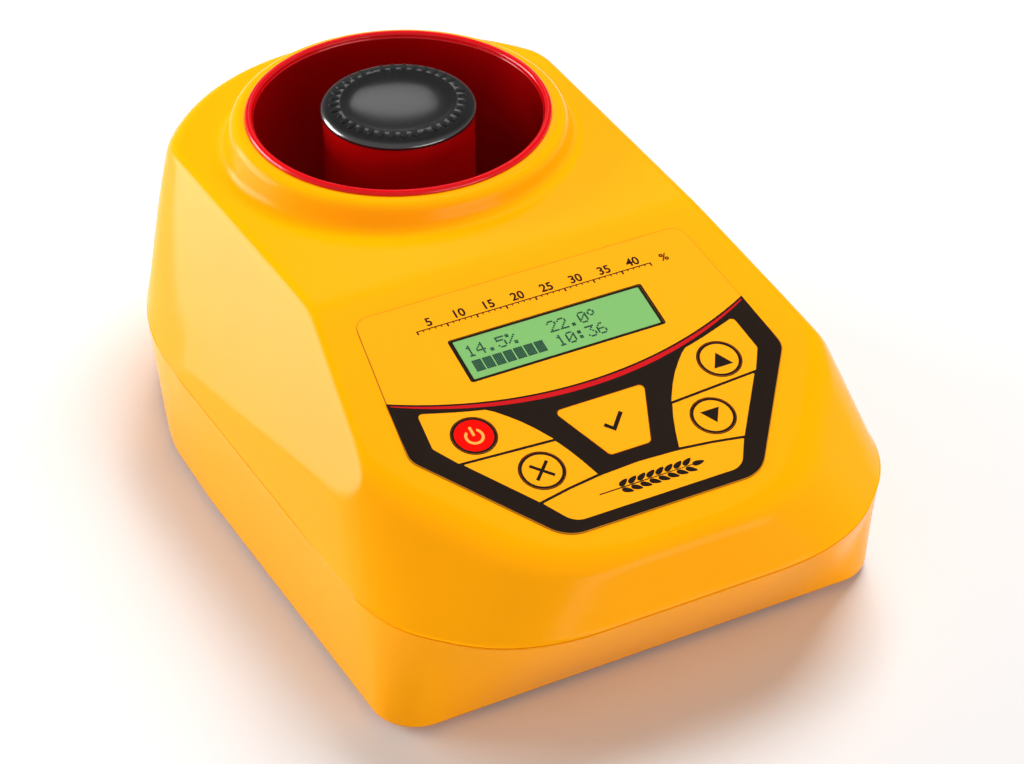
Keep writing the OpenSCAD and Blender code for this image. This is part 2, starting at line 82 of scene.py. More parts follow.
# ------------------------------------------------------------------ materials
def rgb(r, g, b):
    """sRGB 0-255 to linear."""
    out = []
    for c in (r, g, b):
        c = c / 255.0
        out.append(c / 12.92 if c <= 0.04045 else ((c + 0.055) / 1.055) ** 2.4)
    return (out[0], out[1], out[2], 1.0)


def material(name, colour, rough=0.4, rough_var=0.06, tint=0.05, tint_scale=25.0, grain=900.0, grain_depth=0.00002,
             wave=None, metallic=0.0, coat=0.0, coat_rough=0.1, ior=1.5, spec=0.5, sheen=0.0, alpha=1.0,
             brushed=False, subsurface=0.0, wear=0.0, wear_colour=None):
    m = bpy.data.materials.new(name)
    m.use_nodes = True
    nt = m.node_tree
    N, Lk = nt.nodes, nt.links
    bsdf = N["Principled BSDF"]
    bsdf.inputs["Metallic"].default_value = metallic
    bsdf.inputs["IOR"].default_value = ior
    bsdf.inputs["Specular IOR Level"].default_value = spec
    bsdf.inputs["Coat Weight"].default_value = coat
    bsdf.inputs["Coat Roughness"].default_value = coat_rough
    bsdf.inputs["Sheen Weight"].default_value = sheen
    bsdf.inputs["Alpha"].default_value = alpha
    if subsurface:
        bsdf.inputs["Subsurface Weight"].default_value = subsurface
        bsdf.inputs["Subsurface Radius"].default_value = (0.003, 0.0015, 0.0005)
        bsdf.inputs["Subsurface Scale"].default_value = 1.0
    tc = N.new("ShaderNodeTexCoord")
    mp = N.new("ShaderNodeMapping")
    Lk.new(tc.outputs["Object"], mp.inputs["Vector"])
    if brushed:
        mp.inputs["Scale"].default_value = (1.0, 1.0, 18.0)
    # slow variation of colour
    n1 = N.new("ShaderNodeTexNoise")
    n1.inputs["Scale"].default_value = tint_scale
    n1.inputs["Detail"].default_value = 3.0
    Lk.new(mp.outputs["Vector"], n1.inputs["Vector"])
    ramp = N.new("ShaderNodeValToRGB")
    lo = tuple(max(0.0, c * (1 - tint)) for c in colour[:3]) + (1.0,)
    hi = tuple(min(1.0, c * (1 + tint)) for c in colour[:3]) + (1.0,)
    ramp.color_ramp.elements[0].position = 0.3
    ramp.color_ramp.elements[0].color = lo
    ramp.color_ramp.elements[1].position = 0.7
    ramp.color_ramp.elements[1].color = hi
    Lk.new(n1.outputs["Fac"], ramp.inputs["Fac"])
    out_col = ramp.outputs["Color"]
    if wear > 0:
        geo = N.new("ShaderNodeNewGeometry")
        wr = N.new("ShaderNodeMapRange")
        wr.inputs["From Min"].default_value = 0.52
        wr.inputs["From Max"].default_value = 0.62
        wr.inputs["To Max"].default_value = wear
        Lk.new(geo.outputs["Pointiness"], wr.inputs["Value"])
        mix = N.new("ShaderNodeMix")
        mix.data_type = "RGBA"
        Lk.new(wr.outputs["Result"], mix.inputs["Factor"])
        Lk.new(out_col, mix.inputs["A"])
        mix.inputs["B"].default_value = wear_colour or hi
        out_col = mix.outputs["Result"]
    Lk.new(out_col, bsdf.inputs["Base Color"])
    # roughness variation
    n2 = N.new("ShaderNodeTexNoise")
    n2.inputs["Scale"].default_value = tint_scale * 7
    n2.inputs["Detail"].default_value = 5.0
    Lk.new(mp.outputs["Vector"], n2.inputs["Vector"])
    mr = N.new("ShaderNodeMapRange")
    mr.inputs["To Min"].default_value = max(0.02, rough - rough_var)
    mr.inputs["To Max"].default_value = min(1.0, rough + rough_var)
    Lk.new(n2.outputs["Fac"], mr.inputs["Value"])
    Lk.new(mr.outputs["Result"], bsdf.inputs["Roughness"])
    # fine surface texture
    n3 = N.new("ShaderNodeTexNoise")
    n3.inputs["Scale"].default_value = grain
    n3.inputs["Detail"].default_value = 2.0
    n3.inputs["Roughness"].default_value = 0.6
    Lk.new(mp.outputs["Vector"], n3.inputs["Vector"])
    height = n3.outputs["Fac"]
    if wave:
        wv = N.new("ShaderNodeTexWave")
        wv.inputs["Scale"].default_value = wave
        wv.inputs["Distortion"].default_value = 2.0
        Lk.new(mp.outputs["Vector"], wv.inputs["Vector"])
        add = N.new("ShaderNodeMath")
        add.operation = "ADD"
        Lk.new(height, add.inputs[0])
        Lk.new(wv.outputs["Fac"], add.inputs[1])
        height = add.outputs["Value"]
    bump = N.new("ShaderNodeBump")
    bump.inputs["Strength"].default_value = 0.5
    bump.inputs["Distance"].default_value = grain_depth
    Lk.new(height, bump.inputs["Height"])
    Lk.new(bump.outputs["Normal"], bsdf.inputs["Normal"])
    if alpha < 1:
        m.surface_render_method = "BLENDED"
    return m


M = {}
M["yellow"] = material("housing_yellow", (0.95, 0.355, 0.0008, 1), rough=0.2, rough_var=0.02, tint=0.015, tint_scale=14,
                       grain=1700, grain_depth=0.000006, spec=0.06)
# painted shade: the chamber body gets a darker copy of the lip's red, so the inside of the cup reads dark; the lip
# below uses a brighter, lit copy of the same red
M["red"] = material("chamber_red", (0.29, 0.0006, 0.0012, 1), rough=0.12, rough_var=0.05, tint=0.06, tint_scale=40,
                    grain=500, grain_depth=0.000008, coat=0.35, coat_rough=0.05)
M["sleeve_red"] = material("sleeve_red", (0.42, 0.001, 0.0015, 1), rough=0.2, rough_var=0.06, tint=0.08, tint_scale=40,
                           grain=700, grain_depth=0.00001, coat=0.2, coat_rough=0.08)
M["cap_mark"] = material("cap_marks", (0.007, 0.007, 0.0075, 1), rough=0.42, rough_var=0.05, tint=0.3, tint_scale=60,
                         grain=1300, grain_depth=0.00001, spec=0.5)
# painted light: brighter copy of the chamber's red for the lip ring, which catches the light
M["lip_red_lit_copy"] = material("lip_red_lit_copy", (0.60, 0.0012, 0.004, 1), rough=0.16, rough_var=0.04, tint=0.05, tint_scale=40,
                        grain=700, grain_depth=0.000006, spec=0.3)
M["cap"] = material("cap_black", (0.006, 0.006, 0.0065, 1), rough=0.22, rough_var=0.04, tint=0.3, tint_scale=60,
                    grain=1300, grain_depth=0.00001, spec=1.0, coat=0.6, coat_rough=0.15)
M["label"] = material("label_film", (0.92, 0.35, 0.004, 1), rough=0.36, rough_var=0.04, tint=0.015, tint_scale=30,
                      grain=3200, grain_depth=0.000006, spec=0.1)
# painted shadow: dark amber for the thin shadow line round the label's edge
M["label_edge_shadow"] = material("label_edge_shadow", rgb(150, 84, 6), rough=0.5, tint=0.1, tint_scale=60, grain=2500)
M["print"] = material("print_black", rgb(30, 20, 14), rough=0.36, rough_var=0.04, tint=0.08, tint_scale=50,
                      grain=3200, grain_depth=0.000006, spec=0.16)
M["print_red"] = material("print_red", rgb(190, 14, 20), rough=0.36, rough_var=0.04, tint=0.05, tint_scale=50,
                          grain=3200, grain_depth=0.000006, spec=0.14)
M["key_red"] = material("key_red", (0.82, 0.003, 0.001, 1), rough=0.34, rough_var=0.04, tint=0.04, tint_scale=50,
                        grain=3200, grain_depth=0.000006, spec=0.05)
M["key_icon"] = material("key_icon", (0.93, 0.36, 0.05, 1), rough=0.34, rough_var=0.04, tint=0.04, tint_scale=50,
                         grain=3200, grain_depth=0.00001, spec=0.4)
M["lcd"] = material("display_green", rgb(118, 172, 98), rough=0.3, rough_var=0.04, tint=0.03, tint_scale=18,
                    grain=4200, grain_depth=0.000004, coat=0.1, coat_rough=0.12, spec=0.15)
M["lcd_dot"] = material("display_dots", rgb(10, 52, 48), rough=0.4, tint=0.08, tint_scale=90, grain=4200,
                        grain_depth=0.000006, spec=0.3)
M["rubber"] = material("rubber_black", (0.02, 0.02, 0.021, 1), rough=0.75, rough_var=0.08, tint=0.2, tint_scale=70,
                       grain=1400, grain_depth=0.00006, sheen=0.15)
M["steel"] = material("steel", (0.62, 0.61, 0.6, 1), rough=0.3, rough_var=0.1, tint=0.08, tint_scale=60, grain=900,
                      grain_depth=0.00001, metallic=1.0, brushed=True)
M["bright"] = material("electrode_metal", (0.75, 0.74, 0.73, 1), rough=0.22, rough_var=0.08, tint=0.06, tint_scale=60,
                       grain=800, grain_depth=0.00001, metallic=1.0, brushed=True)
M["board"] = material("circuit_board", (0.012, 0.11, 0.035, 1), rough=0.38, tint=0.35, tint_scale=260, grain=700,
                      grain_depth=0.00003, coat=0.2)
M["chip"] = material("chip_black", (0.015, 0.015, 0.017, 1), rough=0.55, tint=0.3, tint_scale=400, grain=1600,
                     grain_depth=0.00004)
M["ribbon"] = material("ribbon_grey", (0.45, 0.45, 0.43, 1), rough=0.5, tint=0.12, tint_scale=50, grain=600, wave=260,
                       grain_depth=0.00006)
M["lead"] = material("lead_black", (0.02, 0.02, 0.02, 1), rough=0.55, tint=0.2, tint_scale=80, grain=900)
M["cell"] = material("cell_sleeve", (0.04, 0.09, 0.22, 1), rough=0.3, tint=0.15, tint_scale=40, grain=900, coat=0.3)
M["bezel"] = material("bezel_black", (0.012, 0.012, 0.013, 1), rough=0.45, tint=0.2, tint_scale=80, grain=1100)


# ------------------------------------------------------------------ mesh helpers
def new_object(name, verts, faces, mat, angle=35.0, smooth=True):
    me = bpy.data.meshes.new(name)
    me.from_pydata([tuple(v) for v in np.asarray(verts, float)], [], [tuple(f) for f in faces])
    me.update()
    ob = bpy.data.objects.new(name, me)
    scene.collection.objects.link(ob)
    if mat is not None:
        me.materials.append(mat)
    if smooth:
        smooth_by_angle(me, angle)
    return ob


def smooth_by_angle(me, angle):
    me.shade_smooth()
    me.set_sharp_from_angle(angle=math.radians(angle))


def grid_object(name, rings, mat, wrap_u=True, wrap_v=True, caps=None, angle=35.0):
    """rings: array (U, V, 3) in mm. Quads between neighbours, wrapping each way as asked."""
    rings = np.asarray(rings, float) * MM
    U, V = rings.shape[:2]
    idx = np.arange(U * V).reshape(U, V)
    a = idx if wrap_u else idx[:-1]
    b = np.roll(idx, -1, 0) if wrap_u else idx[1:]
    if wrap_v:
        a2, b2 = np.roll(a, -1, 1), np.roll(b, -1, 1)
    else:
        a, a2 = a[:, :-1], a[:, 1:]
        b, b2 = b[:, :-1], b[:, 1:]
    quads = np.stack([a, b, b2, a2], -1).reshape(-1, 4)
    verts = rings.reshape(-1, 3)
    extra = []
    if caps:  # list of (v index, centre point, flip)
        for vi, centre, flip in caps:
            k = len(verts)
            verts = np.vstack([verts, np.array(centre, float)[None] * MM])
            ring = idx[:, vi]
            nxt = np.roll(ring, -1)
            tri = np.stack([nxt, ring, np.full(len(ring), k)], -1) if flip else np.stack([ring, nxt, np.full(len(ring), k)], -1)
            extra.append(tri)
    me = bpy.data.meshes.new(name)
    nq = len(quads)
    nt = sum(len(t) for t in extra)
    me.vertices.add(len(verts))
    me.vertices.foreach_set("co", verts.astype(np.float32).ravel())
    loops = np.concatenate([quads.ravel()] + [t.ravel() for t in extra])
    me.loops.add(len(loops))
    me.loops.foreach_set("vertex_index", loops.astype(np.int32))
    me.polygons.add(nq + nt)
    starts = np.concatenate([np.arange(nq) * 4, nq * 4 + np.arange(nt) * 3])
    me.polygons.foreach_set("loop_start", starts.astype(np.int32))
    me.update(calc_edges=True)
    me.validate()
    ob = bpy.data.objects.new(name, me)
    scene.collection.objects.link(ob)
    if mat is not None:
        me.materials.append(mat)
    smooth_by_angle(me, angle)
    return ob


def outward(ob):
    """Makes the mesh's faces point outwards."""
    import bmesh
    bm = bmesh.new()
    bm.from_mesh(ob.data)
    bmesh.ops.recalc_face_normals(bm, faces=bm.faces)
    bm.to_mesh(ob.data)
    bm.free()


def lathe(name, profile, mat, seg=192, centre=(0, CY), angle=32.0, closed=True, matrix=None):
    """profile: closed list of (r, z) in mm, turned about a vertical axis. Points with r 0 become one point."""
    prof = np.array(profile, float)
    t = np.linspace(0, 2 * np.pi, seg, endpoint=False)
    verts, rings = [], []
    for r, z in prof:
        if r < 1e-6:
            rings.append([len(verts)] * seg)
            verts.append((0, 0, z))
        else:
            rings.append(list(range(len(verts), len(verts) + seg)))
            for a in t:
                verts.append((r * math.cos(a), r * math.sin(a), z))
    faces = []
    n = len(prof)
    for i in range(n if closed else n - 1):
        j = (i + 1) % n
        ra, rb = rings[i], rings[j]
        if ra[0] == ra[1] and rb[0] == rb[1]:
            continue
        for k in range(seg):
            k2 = (k + 1) % seg
            if ra[0] == ra[1]:
                faces.append((ra[0], rb[k2], rb[k]))
            elif rb[0] == rb[1]:
                faces.append((ra[k], ra[k2], rb[0]))
            else:
                faces.append((ra[k], ra[k2], rb[k2], rb[k]))
    v = np.array(verts, float)
    v[:, 0] += centre[0]
    v[:, 1] += centre[1]
    v *= MM
    if matrix is not None:
        v = (np.array(matrix)[:3, :3] @ v.T).T + np.array(matrix)[:3, 3]
    ob = new_object(name, v, faces, mat, angle)
    outward(ob)
    smooth_by_angle(ob.data, angle)
    return ob


def arc(cx, cz, r, a0, a1, n):
    return [(cx + r * math.cos(math.radians(a0 + (a1 - a0) * i / n)), cz + r * math.sin(math.radians(a0 + (a1 - a0) * i / n)))
            for i in range(n + 1)]


def prism(name, loops, w0, w1, mat=None, on_panel=False, bevel=0.0):
    """Closed plate from filled outlines (the first loops may hold others as holes), between heights w0 and w1, in mm."""
    cu = bpy.data.curves.new(name, "CURVE")
    cu.dimensions = "2D"
    cu.fill_mode = "BOTH"
    for pts in loops:
        sp = cu.splines.new("POLY")
        sp.points.add(len(pts) - 1)
        for i, p in enumerate(pts):
            sp.points[i].co = (p[0] * MM, p[1] * MM, 0, 1)
        sp.use_cyclic_u = True
    cu.extrude = (w1 - w0) / 2 * MM
    ob = bpy.data.objects.new(name, cu)
    scene.collection.objects.link(ob)
    bpy.context.view_layer.update()
    dg = bpy.context.evaluated_depsgraph_get()
    me = bpy.data.meshes.new_from_object(ob.evaluated_get(dg))
    bpy.data.objects.remove(ob)
    me.transform(Matrix.Translation((0, 0, (w0 + w1) / 2 * MM)))
    if on_panel:
        me.transform(PANEL_M)
    me.name = name
    out = bpy.data.objects.new(name, me)
    scene.collection.objects.link(out)
    me.materials.clear()
    if mat is not None:
        me.materials.append(mat)
    import bmesh
    bm = bmesh.new()
    bm.from_mesh(me)
    bmesh.ops.remove_doubles(bm, verts=bm.verts, dist=1e-7)
    bmesh.ops.dissolve_degenerate(bm, edges=bm.edges, dist=1e-8)
    bmesh.ops.recalc_face_normals(bm, faces=bm.faces)
    bm.to_mesh(me)
    bm.free()
    for p in me.polygons:
        p.use_smooth = False
    return out


def join(name, obs):
    """Joins mesh objects into one."""
    verts, faces, mats, mi = [], [], [], []
    off = 0
    me = bpy.data.meshes.new(name)
    for o in obs:
        co = np.zeros(len(o.data.vertices) * 3, np.float32)
        o.data.vertices.foreach_get("co", co)
        verts.append(co.reshape(-1, 3))
        mat = o.data.materials[0] if len(o.data.materials) else None
        if mat not in mats:
            mats.append(mat)
        for p in o.data.polygons:
            faces.append(tuple(off + v for v in p.vertices))
            mi.append(mats.index(mat))
        off += len(o.data.vertices)
    me.from_pydata([tuple(map(float, v)) for v in np.vstack(verts)], [], faces)
    for m in mats:
        if m is not None:
            me.materials.append(m)
    me.polygons.foreach_set("material_index", mi)
    me.update()
    ob = bpy.data.objects.new(name, me)
    scene.collection.objects.link(ob)
    for o in obs:
        bpy.data.objects.remove(o)
    return ob


def grain_outline(cx, cy, length, width, n=20):
    out = []
    for i in range(n):
        a = 2 * math.pi * i / n
        out.append((cx + math.cos(a) * length / 2, cy + math.sin(a) * width / 2 * (1 - 0.3 * math.cos(a))))
    return out


def circle_pts(cx, cy, r, n=96):
    return [(cx + r * math.cos(2 * math.pi * i / n), cy + r * math.sin(2 * math.pi * i / n)) for i in range(n)]


def rpoly(p, r, n=8):
    """Corner-rounded outline."""
    out = []
    m = len(p)
    for i in range(m):
        P0 = np.array(p[i], float)
        a = np.array(p[i - 1], float) - P0
        b = np.array(p[(i + 1) % m], float) - P0
        u, v = a / np.linalg.norm(a), b / np.linalg.norm(b)
        if r[i] <= 0:
            out.append(tuple(P0))
            continue
        h = math.acos(max(-1, min(1, float(u @ v)))) / 2
        q = (u + v) / np.linalg.norm(u + v)
        c = P0 + q * r[i] / math.sin(h)
        s = 1 if (u[0] * v[1] - u[1] * v[0]) > 0 else -1
        a0 = math.atan2(-q[1], -q[0])
        for k in range(n + 1):
            t = a0 + s * (math.pi / 2 - h) * (1 - 2 * k / n)
            out.append((c[0] + r[i] * math.cos(t), c[1] + r[i] * math.sin(t)))
    return out


def mirrored(p):
    return list(p) + [(-x, y) for x, y in reversed(p)]


def box_obj(name, lo, hi, mat=None):
    (x0, y0, z0), (x1, y1, z1) = lo, hi
    v = np.array([(x0, y0, z0), (x1, y0, z0), (x1, y1, z0), (x0, y1, z0), (x0, y0, z1), (x1, y0, z1), (x1, y1, z1), (x0, y1, z1)]) * MM
    f = [(0, 3, 2, 1), (4, 5, 6, 7), (0, 1, 5, 4), (1, 2, 6, 5), (2, 3, 7, 6), (3, 0, 4, 7)]
    return new_object(name, v, f, mat, smooth=False)


def boolean(ob, tool, op):
    mod = ob.modifiers.new("b", "BOOLEAN")
    mod.operation = op
    mod.solver = "MANIFOLD"
    mod.object = tool
    bpy.context.view_layer.update()
    dg = bpy.context.evaluated_depsgraph_get()
    me = bpy.data.meshes.new_from_object(ob.evaluated_get(dg))
    n0, n1 = len(ob.data.polygons), len(me.polygons)
    ob.modifiers.remove(mod)
    if n1 > 100:
        old = ob.data
        ob.data = me
        bpy.data.meshes.remove(old)
    print("boolean", ob.name, tool.name, op, n0, "->", n1)
    bpy.data.objects.remove(tool)
    return ob


# ------------------------------------------------------------------ housing form
def nrm(v):
    v = np.array(v, float)
    return v / np.linalg.norm(v)


PL = {
    "deck": (nrm([0, math.sin(math.radians(2.7)), math.cos(math.radians(2.7))]), (0, SY + 35.4, 95.1)),
    "pan": (nrm([0, -math.sin(TILT), math.cos(TILT)]), (0, SY, DISP_Z)),
    "cha": (nrm([0.850, 0.0055, 0.5268]), (67.7, SY + 35.4, 95.1)),
    "sid": (nrm([0.9650, -0.0537, 0.2560]), (88.85, SY - 60, 45.4)),
    "cor": (nrm([0.556, -0.5665, 0.6075]), (79.0, SY - 31, DISP_Z - 7.8)),
    "fro": (nrm([0, -0.9605, 0.278]), (0, -144.75, 45.4)),
}
KB = dict(crease=2.0, top_side=1.7, cha_sid=2.0, corfro=15, side_front=11, top_front=5, cha_low=0.55, cha_top=1.9, deck_rear=6)
REAR = dict(yc=53.0, phi=[0, 15, 30, 45, 60, 70, 80, 90, 100],
            deck=[86.2, 86.1, 85.3, 84.1, 83.3, 83.1, 83.4, 84.5, 86.6],
            part=[91.75, 91.6, 91.2, 90.2, 89.6, 90.4, 93.0, 96.8, 100.8], zd=88.0)


def smax(a, b, k):
    h = np.maximum(k - np.abs(a - b), 0) / k
    return np.maximum(a, b) + h * h * k * 0.25


def smin(a, b, k):
    h = np.maximum(k - np.abs(a - b), 0) / k
    return np.minimum(a, b) - h * h * k * 0.25


def plane(name, x, y, z):
    n, p = PL[name]
    return n[0] * (np.abs(x) - p[0]) + n[1] * (y - p[1]) + n[2] * (z - p[2])


def interp_s(t, xs, ys):
    xs, ys = np.array(xs, float), np.array(ys, float)
    m = np.gradient(ys, xs)
    m[0] = 0
    i = np.clip(np.searchsorted(xs, t) - 1, 0, len(xs) - 2)
    h = xs[i + 1] - xs[i]
    u = np.clip((t - xs[i]) / h, 0, 1)
    return ((2 * u**3 - 3 * u**2 + 1) * ys[i] + (u**3 - 2 * u**2 + u) * h * m[i]
            + (3 * u**2 - 2 * u**3) * ys[i + 1] + (u**3 - u**2) * h * m[i + 1])


def rear(x, y, z):
    dy = y - REAR["yc"]
    rho = np.hypot(x, dy)
    phi = np.degrees(np.arctan2(np.abs(x), dy))
    ex = np.maximum(phi - 100, 0)
    pc = np.minimum(phi, 100)
    rp = interp_s(pc, REAR["phi"], REAR["part"]) + ex * 0.34 + ex**2 * 0.12
    rd = interp_s(pc, REAR["phi"], REAR["deck"]) + ex * 0.3 + ex**2 * 0.12
    t = (z - PART) / (REAR["zd"] - PART)
    return (rho - rp - (rd - rp) * t) * 0.98


def body(x, y, z):
    top = smax(plane("deck", x, y, z), plane("pan", x, y, z), KB["crease"])
    front = smax(plane("cor", x, y, z), plane("fro", x, y, z), KB["corfro"])
    low = smax(front, plane("sid", x, y, z), KB["side_front"])
    k = KB["cha_low"] + (KB["cha_top"] - KB["cha_low"]) * np.clip((top - low) / 5.0 + 0.5, 0, 1)
    low = smax(low, top, KB["top_front"])
    a = smax(low, plane("cha", x, y, z), k)
    return smax(a, rear(x, y, z), KB["deck_rear"])


def collar(x, y, z):
    rho = np.hypot(x, y - CY)
    wall_ = (rho - (56.1 + 0.33 * (RIM - 1.6 - z))) * 0.95
    return smax(wall_, z - (RIM - 1.6), 3.4)


def outer(x, y, z):
    return smin(body(x, y, z), collar(x, y, z), 3.4)


HALF = 520          # slices in half a turn
Q_R, Q_Z = 40.0, PART


def solve(F, theta, psi, lo, hi, n):
    """Points where F is zero along rays from the ring (Q_R, Q_Z), at plan angle theta and angle psi from the vertical."""
    sx, sy_ = np.sin(theta), np.cos(theta)
    dr, dz = np.sin(psi), np.cos(psi)
    for _ in range(n):
        m = (lo + hi) / 2
        rho = Q_R + dr * m
        f = F(rho * sx, CY + rho * sy_, Q_Z + dz * m)
        ins = f < 0
        lo = np.where(ins, m, lo)
        hi = np.where(ins, hi, m)
    m = (lo + hi) / 2
    return Q_R + dr * m, Q_Z + dz * m


# plan angles, spaced evenly along the joint outline
fine = np.linspace(0, np.pi, 4001)
r_f, _ = solve(body, fine, np.full_like(fine, np.pi / 2), np.full_like(fine, 10.0), np.full_like(fine, 230.0), 30)
xy = np.stack([r_f * np.sin(fine), r_f * np.cos(fine)], -1)
s_f = np.r_[0, np.cumsum(np.hypot(*np.diff(xy, axis=0).T))]
theta = np.interp(np.linspace(0, s_f[-1], HALF + 1), s_f, fine)
theta[0], theta[-1] = 0.0, np.pi


def arclen(r, z):
    d = np.hypot(np.diff(r, axis=1), np.diff(z, axis=1))
    return np.concatenate([np.zeros((len(r), 1)), np.cumsum(d, 1)], 1)


def resample(r, z, s, target):
    R = np.stack([np.interp(target[i], s[i], r[i]) for i in range(len(r))])
    Z = np.stack([np.interp(target[i], s[i], z[i]) for i in range(len(r))])
    return R, Z


NR = 520
psi0 = math.atan2(51.2 - Q_R, RIM - 1.6 - Q_Z)
psi = np.linspace(psi0, np.pi / 2, NR)
TH = np.repeat(theta[:, None], NR, 1)
PS = np.repeat(psi[None], HALF + 1, 0)
r0, z0 = solve(outer, TH, PS, np.full_like(TH, 4.0), np.full_like(TH, 230.0), 16)
s0 = arclen(r0, z0)
KC, KD = 56, 150     # samples on the collar, and on the rest
tot = s0[:, -1]
target = np.stack([np.concatenate([np.linspace(0, 24.0, KC, endpoint=False), 24.0 + (t - 24.0) * np.linspace(0, 1, KD)]) for t in tot])
ra, za = resample(r0, z0, s0, target)
TH2 = np.repeat(theta[:, None], ra.shape[1], 1)
PS2 = np.arctan2(ra - Q_R, za - Q_Z)
PS2[:, -1] = np.pi / 2
dist = np.hypot(ra - Q_R, za - Q_Z)
ra, za = solve(outer, TH2, PS2, dist - 1.2, dist + 1.2, 18)
za[:, -1] = PART
joint_r = ra[:, -1].copy()

# inside of the top cover: the same form, one wall thickness in
def inner(x, y, z):
    return body(x, y, z) + WALL


psi_i = np.linspace(math.atan2(8.0, 46.0), np.pi / 2, 160)
THi = np.repeat(theta[:, None], 160, 1)
PSi = np.repeat(psi_i[None], HALF + 1, 0)
ri, zi = solve(inner, THi, PSi, np.full_like(THi, 2.0), np.full_like(THi, 230.0), 20)
KI = 44
bore = 50.4
Ri, Zi = [], []
for i in range(HALF + 1):
    zb = np.interp(bore, ri[i][ri[i] < ri[i].max() + 1][:120], zi[i][:120])
    keep = ri[i] > bore + 0.3
    rr = np.r_[bore, ri[i][keep]]
    zz = np.r_[zb, zi[i][keep]]
    ss = np.r_[0, np.cumsum(np.hypot(np.diff(rr), np.diff(zz)))]
    tt = np.linspace(0, ss[-1], KI)
    Ri.append(np.interp(tt, ss, rr))
    Zi.append(np.interp(tt, ss, zz))
Ri, Zi = np.array(Ri), np.array(Zi)


def revolve(R, Z):
    """(HALF+1, V) half-turn profiles to a full ring of slices, mirrored."""
    x = R * np.sin(theta)[:, None]
    y = CY + R * np.cos(theta)[:, None]
    right = np.stack([x, y, Z], -1)
    left = right[1:-1][::-1].copy()
    left[..., 0] *= -1
    return np.concatenate([right, left], 0)


# top cover profile: outer face, rounded lower edge, inner face, bore, top land
gap = 0.11
er = 0.42
edge_r = np.stack([joint_r - er * (1 - math.cos(a)) for a in np.radians([0, 25, 50, 75, 90])], 1)
edge_z = np.stack([np.full_like(joint_r, PART + gap + er * (1 - math.sin(a))) for a in np.radians([0, 25, 50, 75, 90])], 1)
cut = za[:, :-1].copy()
out_r, out_z = ra[:, :-1], np.maximum(za[:, :-1], PART + gap + er + 0.05)
inn_r, inn_z = Ri[:, ::-1], np.maximum(Zi[:, ::-1], PART + gap)
land_r = np.repeat(np.array([[bore, bore]]), HALF + 1, 0)
land_z = np.repeat(np.array([[96.0, RIM - 1.6]]), HALF + 1, 0)
prof_r = np.concatenate([out_r, edge_r, inn_r, land_r], 1)
prof_z = np.concatenate([out_z, edge_z, inn_z, land_z], 1)
cover = grid_object("top_cover_shell", revolve(prof_r, prof_z), M["yellow"])
outward(cover)

# cuts in the cover: label pocket, display opening, key wells, stem holes
LABEL_HALF = [(33.05, -72.65), (64.44, -29.9), (57.45, 26.82)]
LABEL = rpoly(mirrored(LABEL_HALF), [12, 7, 5, 5, 7, 12], 10)
KEYS = {"on_off_key": (-42.3, -28.0), "cancel_key": (-29.0, -47.5), "up_key": (42.5, -28.0), "down_key": (29.7, -47.5)}


def trap(g):
    return rpoly(mirrored([(6.9 - g * 0.6, -49.6 + g), (15.6 - g, -28.4 - g)]), [1.6, 1.6, 1.6, 1.6], 6)


pocket = prism("pocket", [LABEL], -0.6, 3.0, on_panel=True)
boolean(cover, pocket, "DIFFERENCE")
wells = [prism("w", [circle_pts(x, s, 7.1, 72)], -1.1, 3.2, on_panel=True) for x, s in KEYS.values()]
wells.append(prism("w", [trap(-0.2)], -1.1, 3.2, on_panel=True))
wells.append(prism("w", [[(-33.4, -8.8), (33.4, -8.8), (33.4, 8.8), (-33.4, 8.8)]], -8.0, 3.2, on_panel=True))
boolean(cover, join("wells", wells), "DIFFERENCE")
stems = [prism("s", [circle_pts(x, s, 2.4, 32)], -8.0, 3.1, on_panel=True) for x, s in list(KEYS.values()) + [(0, -38)]]
boolean(cover, join("stems", stems), "DIFFERENCE")
smooth_by_angle(cover.data, 28)
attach(cover, "housing")
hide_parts("top_cover")

# ------------------------------------------------------------------ base
def hull2d(pts):
    pts = sorted(set(map(tuple, np.round(pts, 5))))
    def half(seq):
        h = []
        for p in seq:
            while len(h) >= 2 and (h[-1][0] - h[-2][0]) * (p[1] - h[-2][1]) - (h[-1][1] - h[-2][1]) * (p[0] - h[-2][0]) <= 0:
                h.pop()
            h.append(p)
        return h
    a, b = half(pts), half(pts[::-1])
    return np.array(a[:-1] + b[:-1])


foot_pts = []
for cx_, cy_, rr_ in ((72.4, -102.4, 15.0), (82.0, 14.0, 12.0), (34.3, 40.0, 60.0), (0, 51.75, 90.5)):
    for sgn in (1, -1):
        foot_pts += [(sgn * cx_ + rr_ * math.cos(a), cy_ + rr_ * math.sin(a)) for a in np.linspace(0, 2 * np.pi, 721)[:-1]]
FOOT = hull2d(np.array(foot_pts))
fa, fb = FOOT, np.roll(FOOT, -1, 0)
fn_ = np.stack([fb[:, 1] - fa[:, 1], fa[:, 0] - fb[:, 0]], -1)
fl = np.hypot(*fn_.T)
ok_ = fl > 1e-6
fn_, fd_ = fn_[ok_] / fl[ok_][:, None], ((fn_ * fa).sum(1) / np.maximum(fl, 1e-9))[ok_]
dirs = np.stack([np.sin(theta), np.cos(theta)], -1)
num = fd_[None] - (fn_ @ np.array([0, CY]))[None]
den = dirs @ fn_.T
foot_r = np.where(den > 1e-6, num / np.maximum(den, 1e-6), 1e9).min(1)

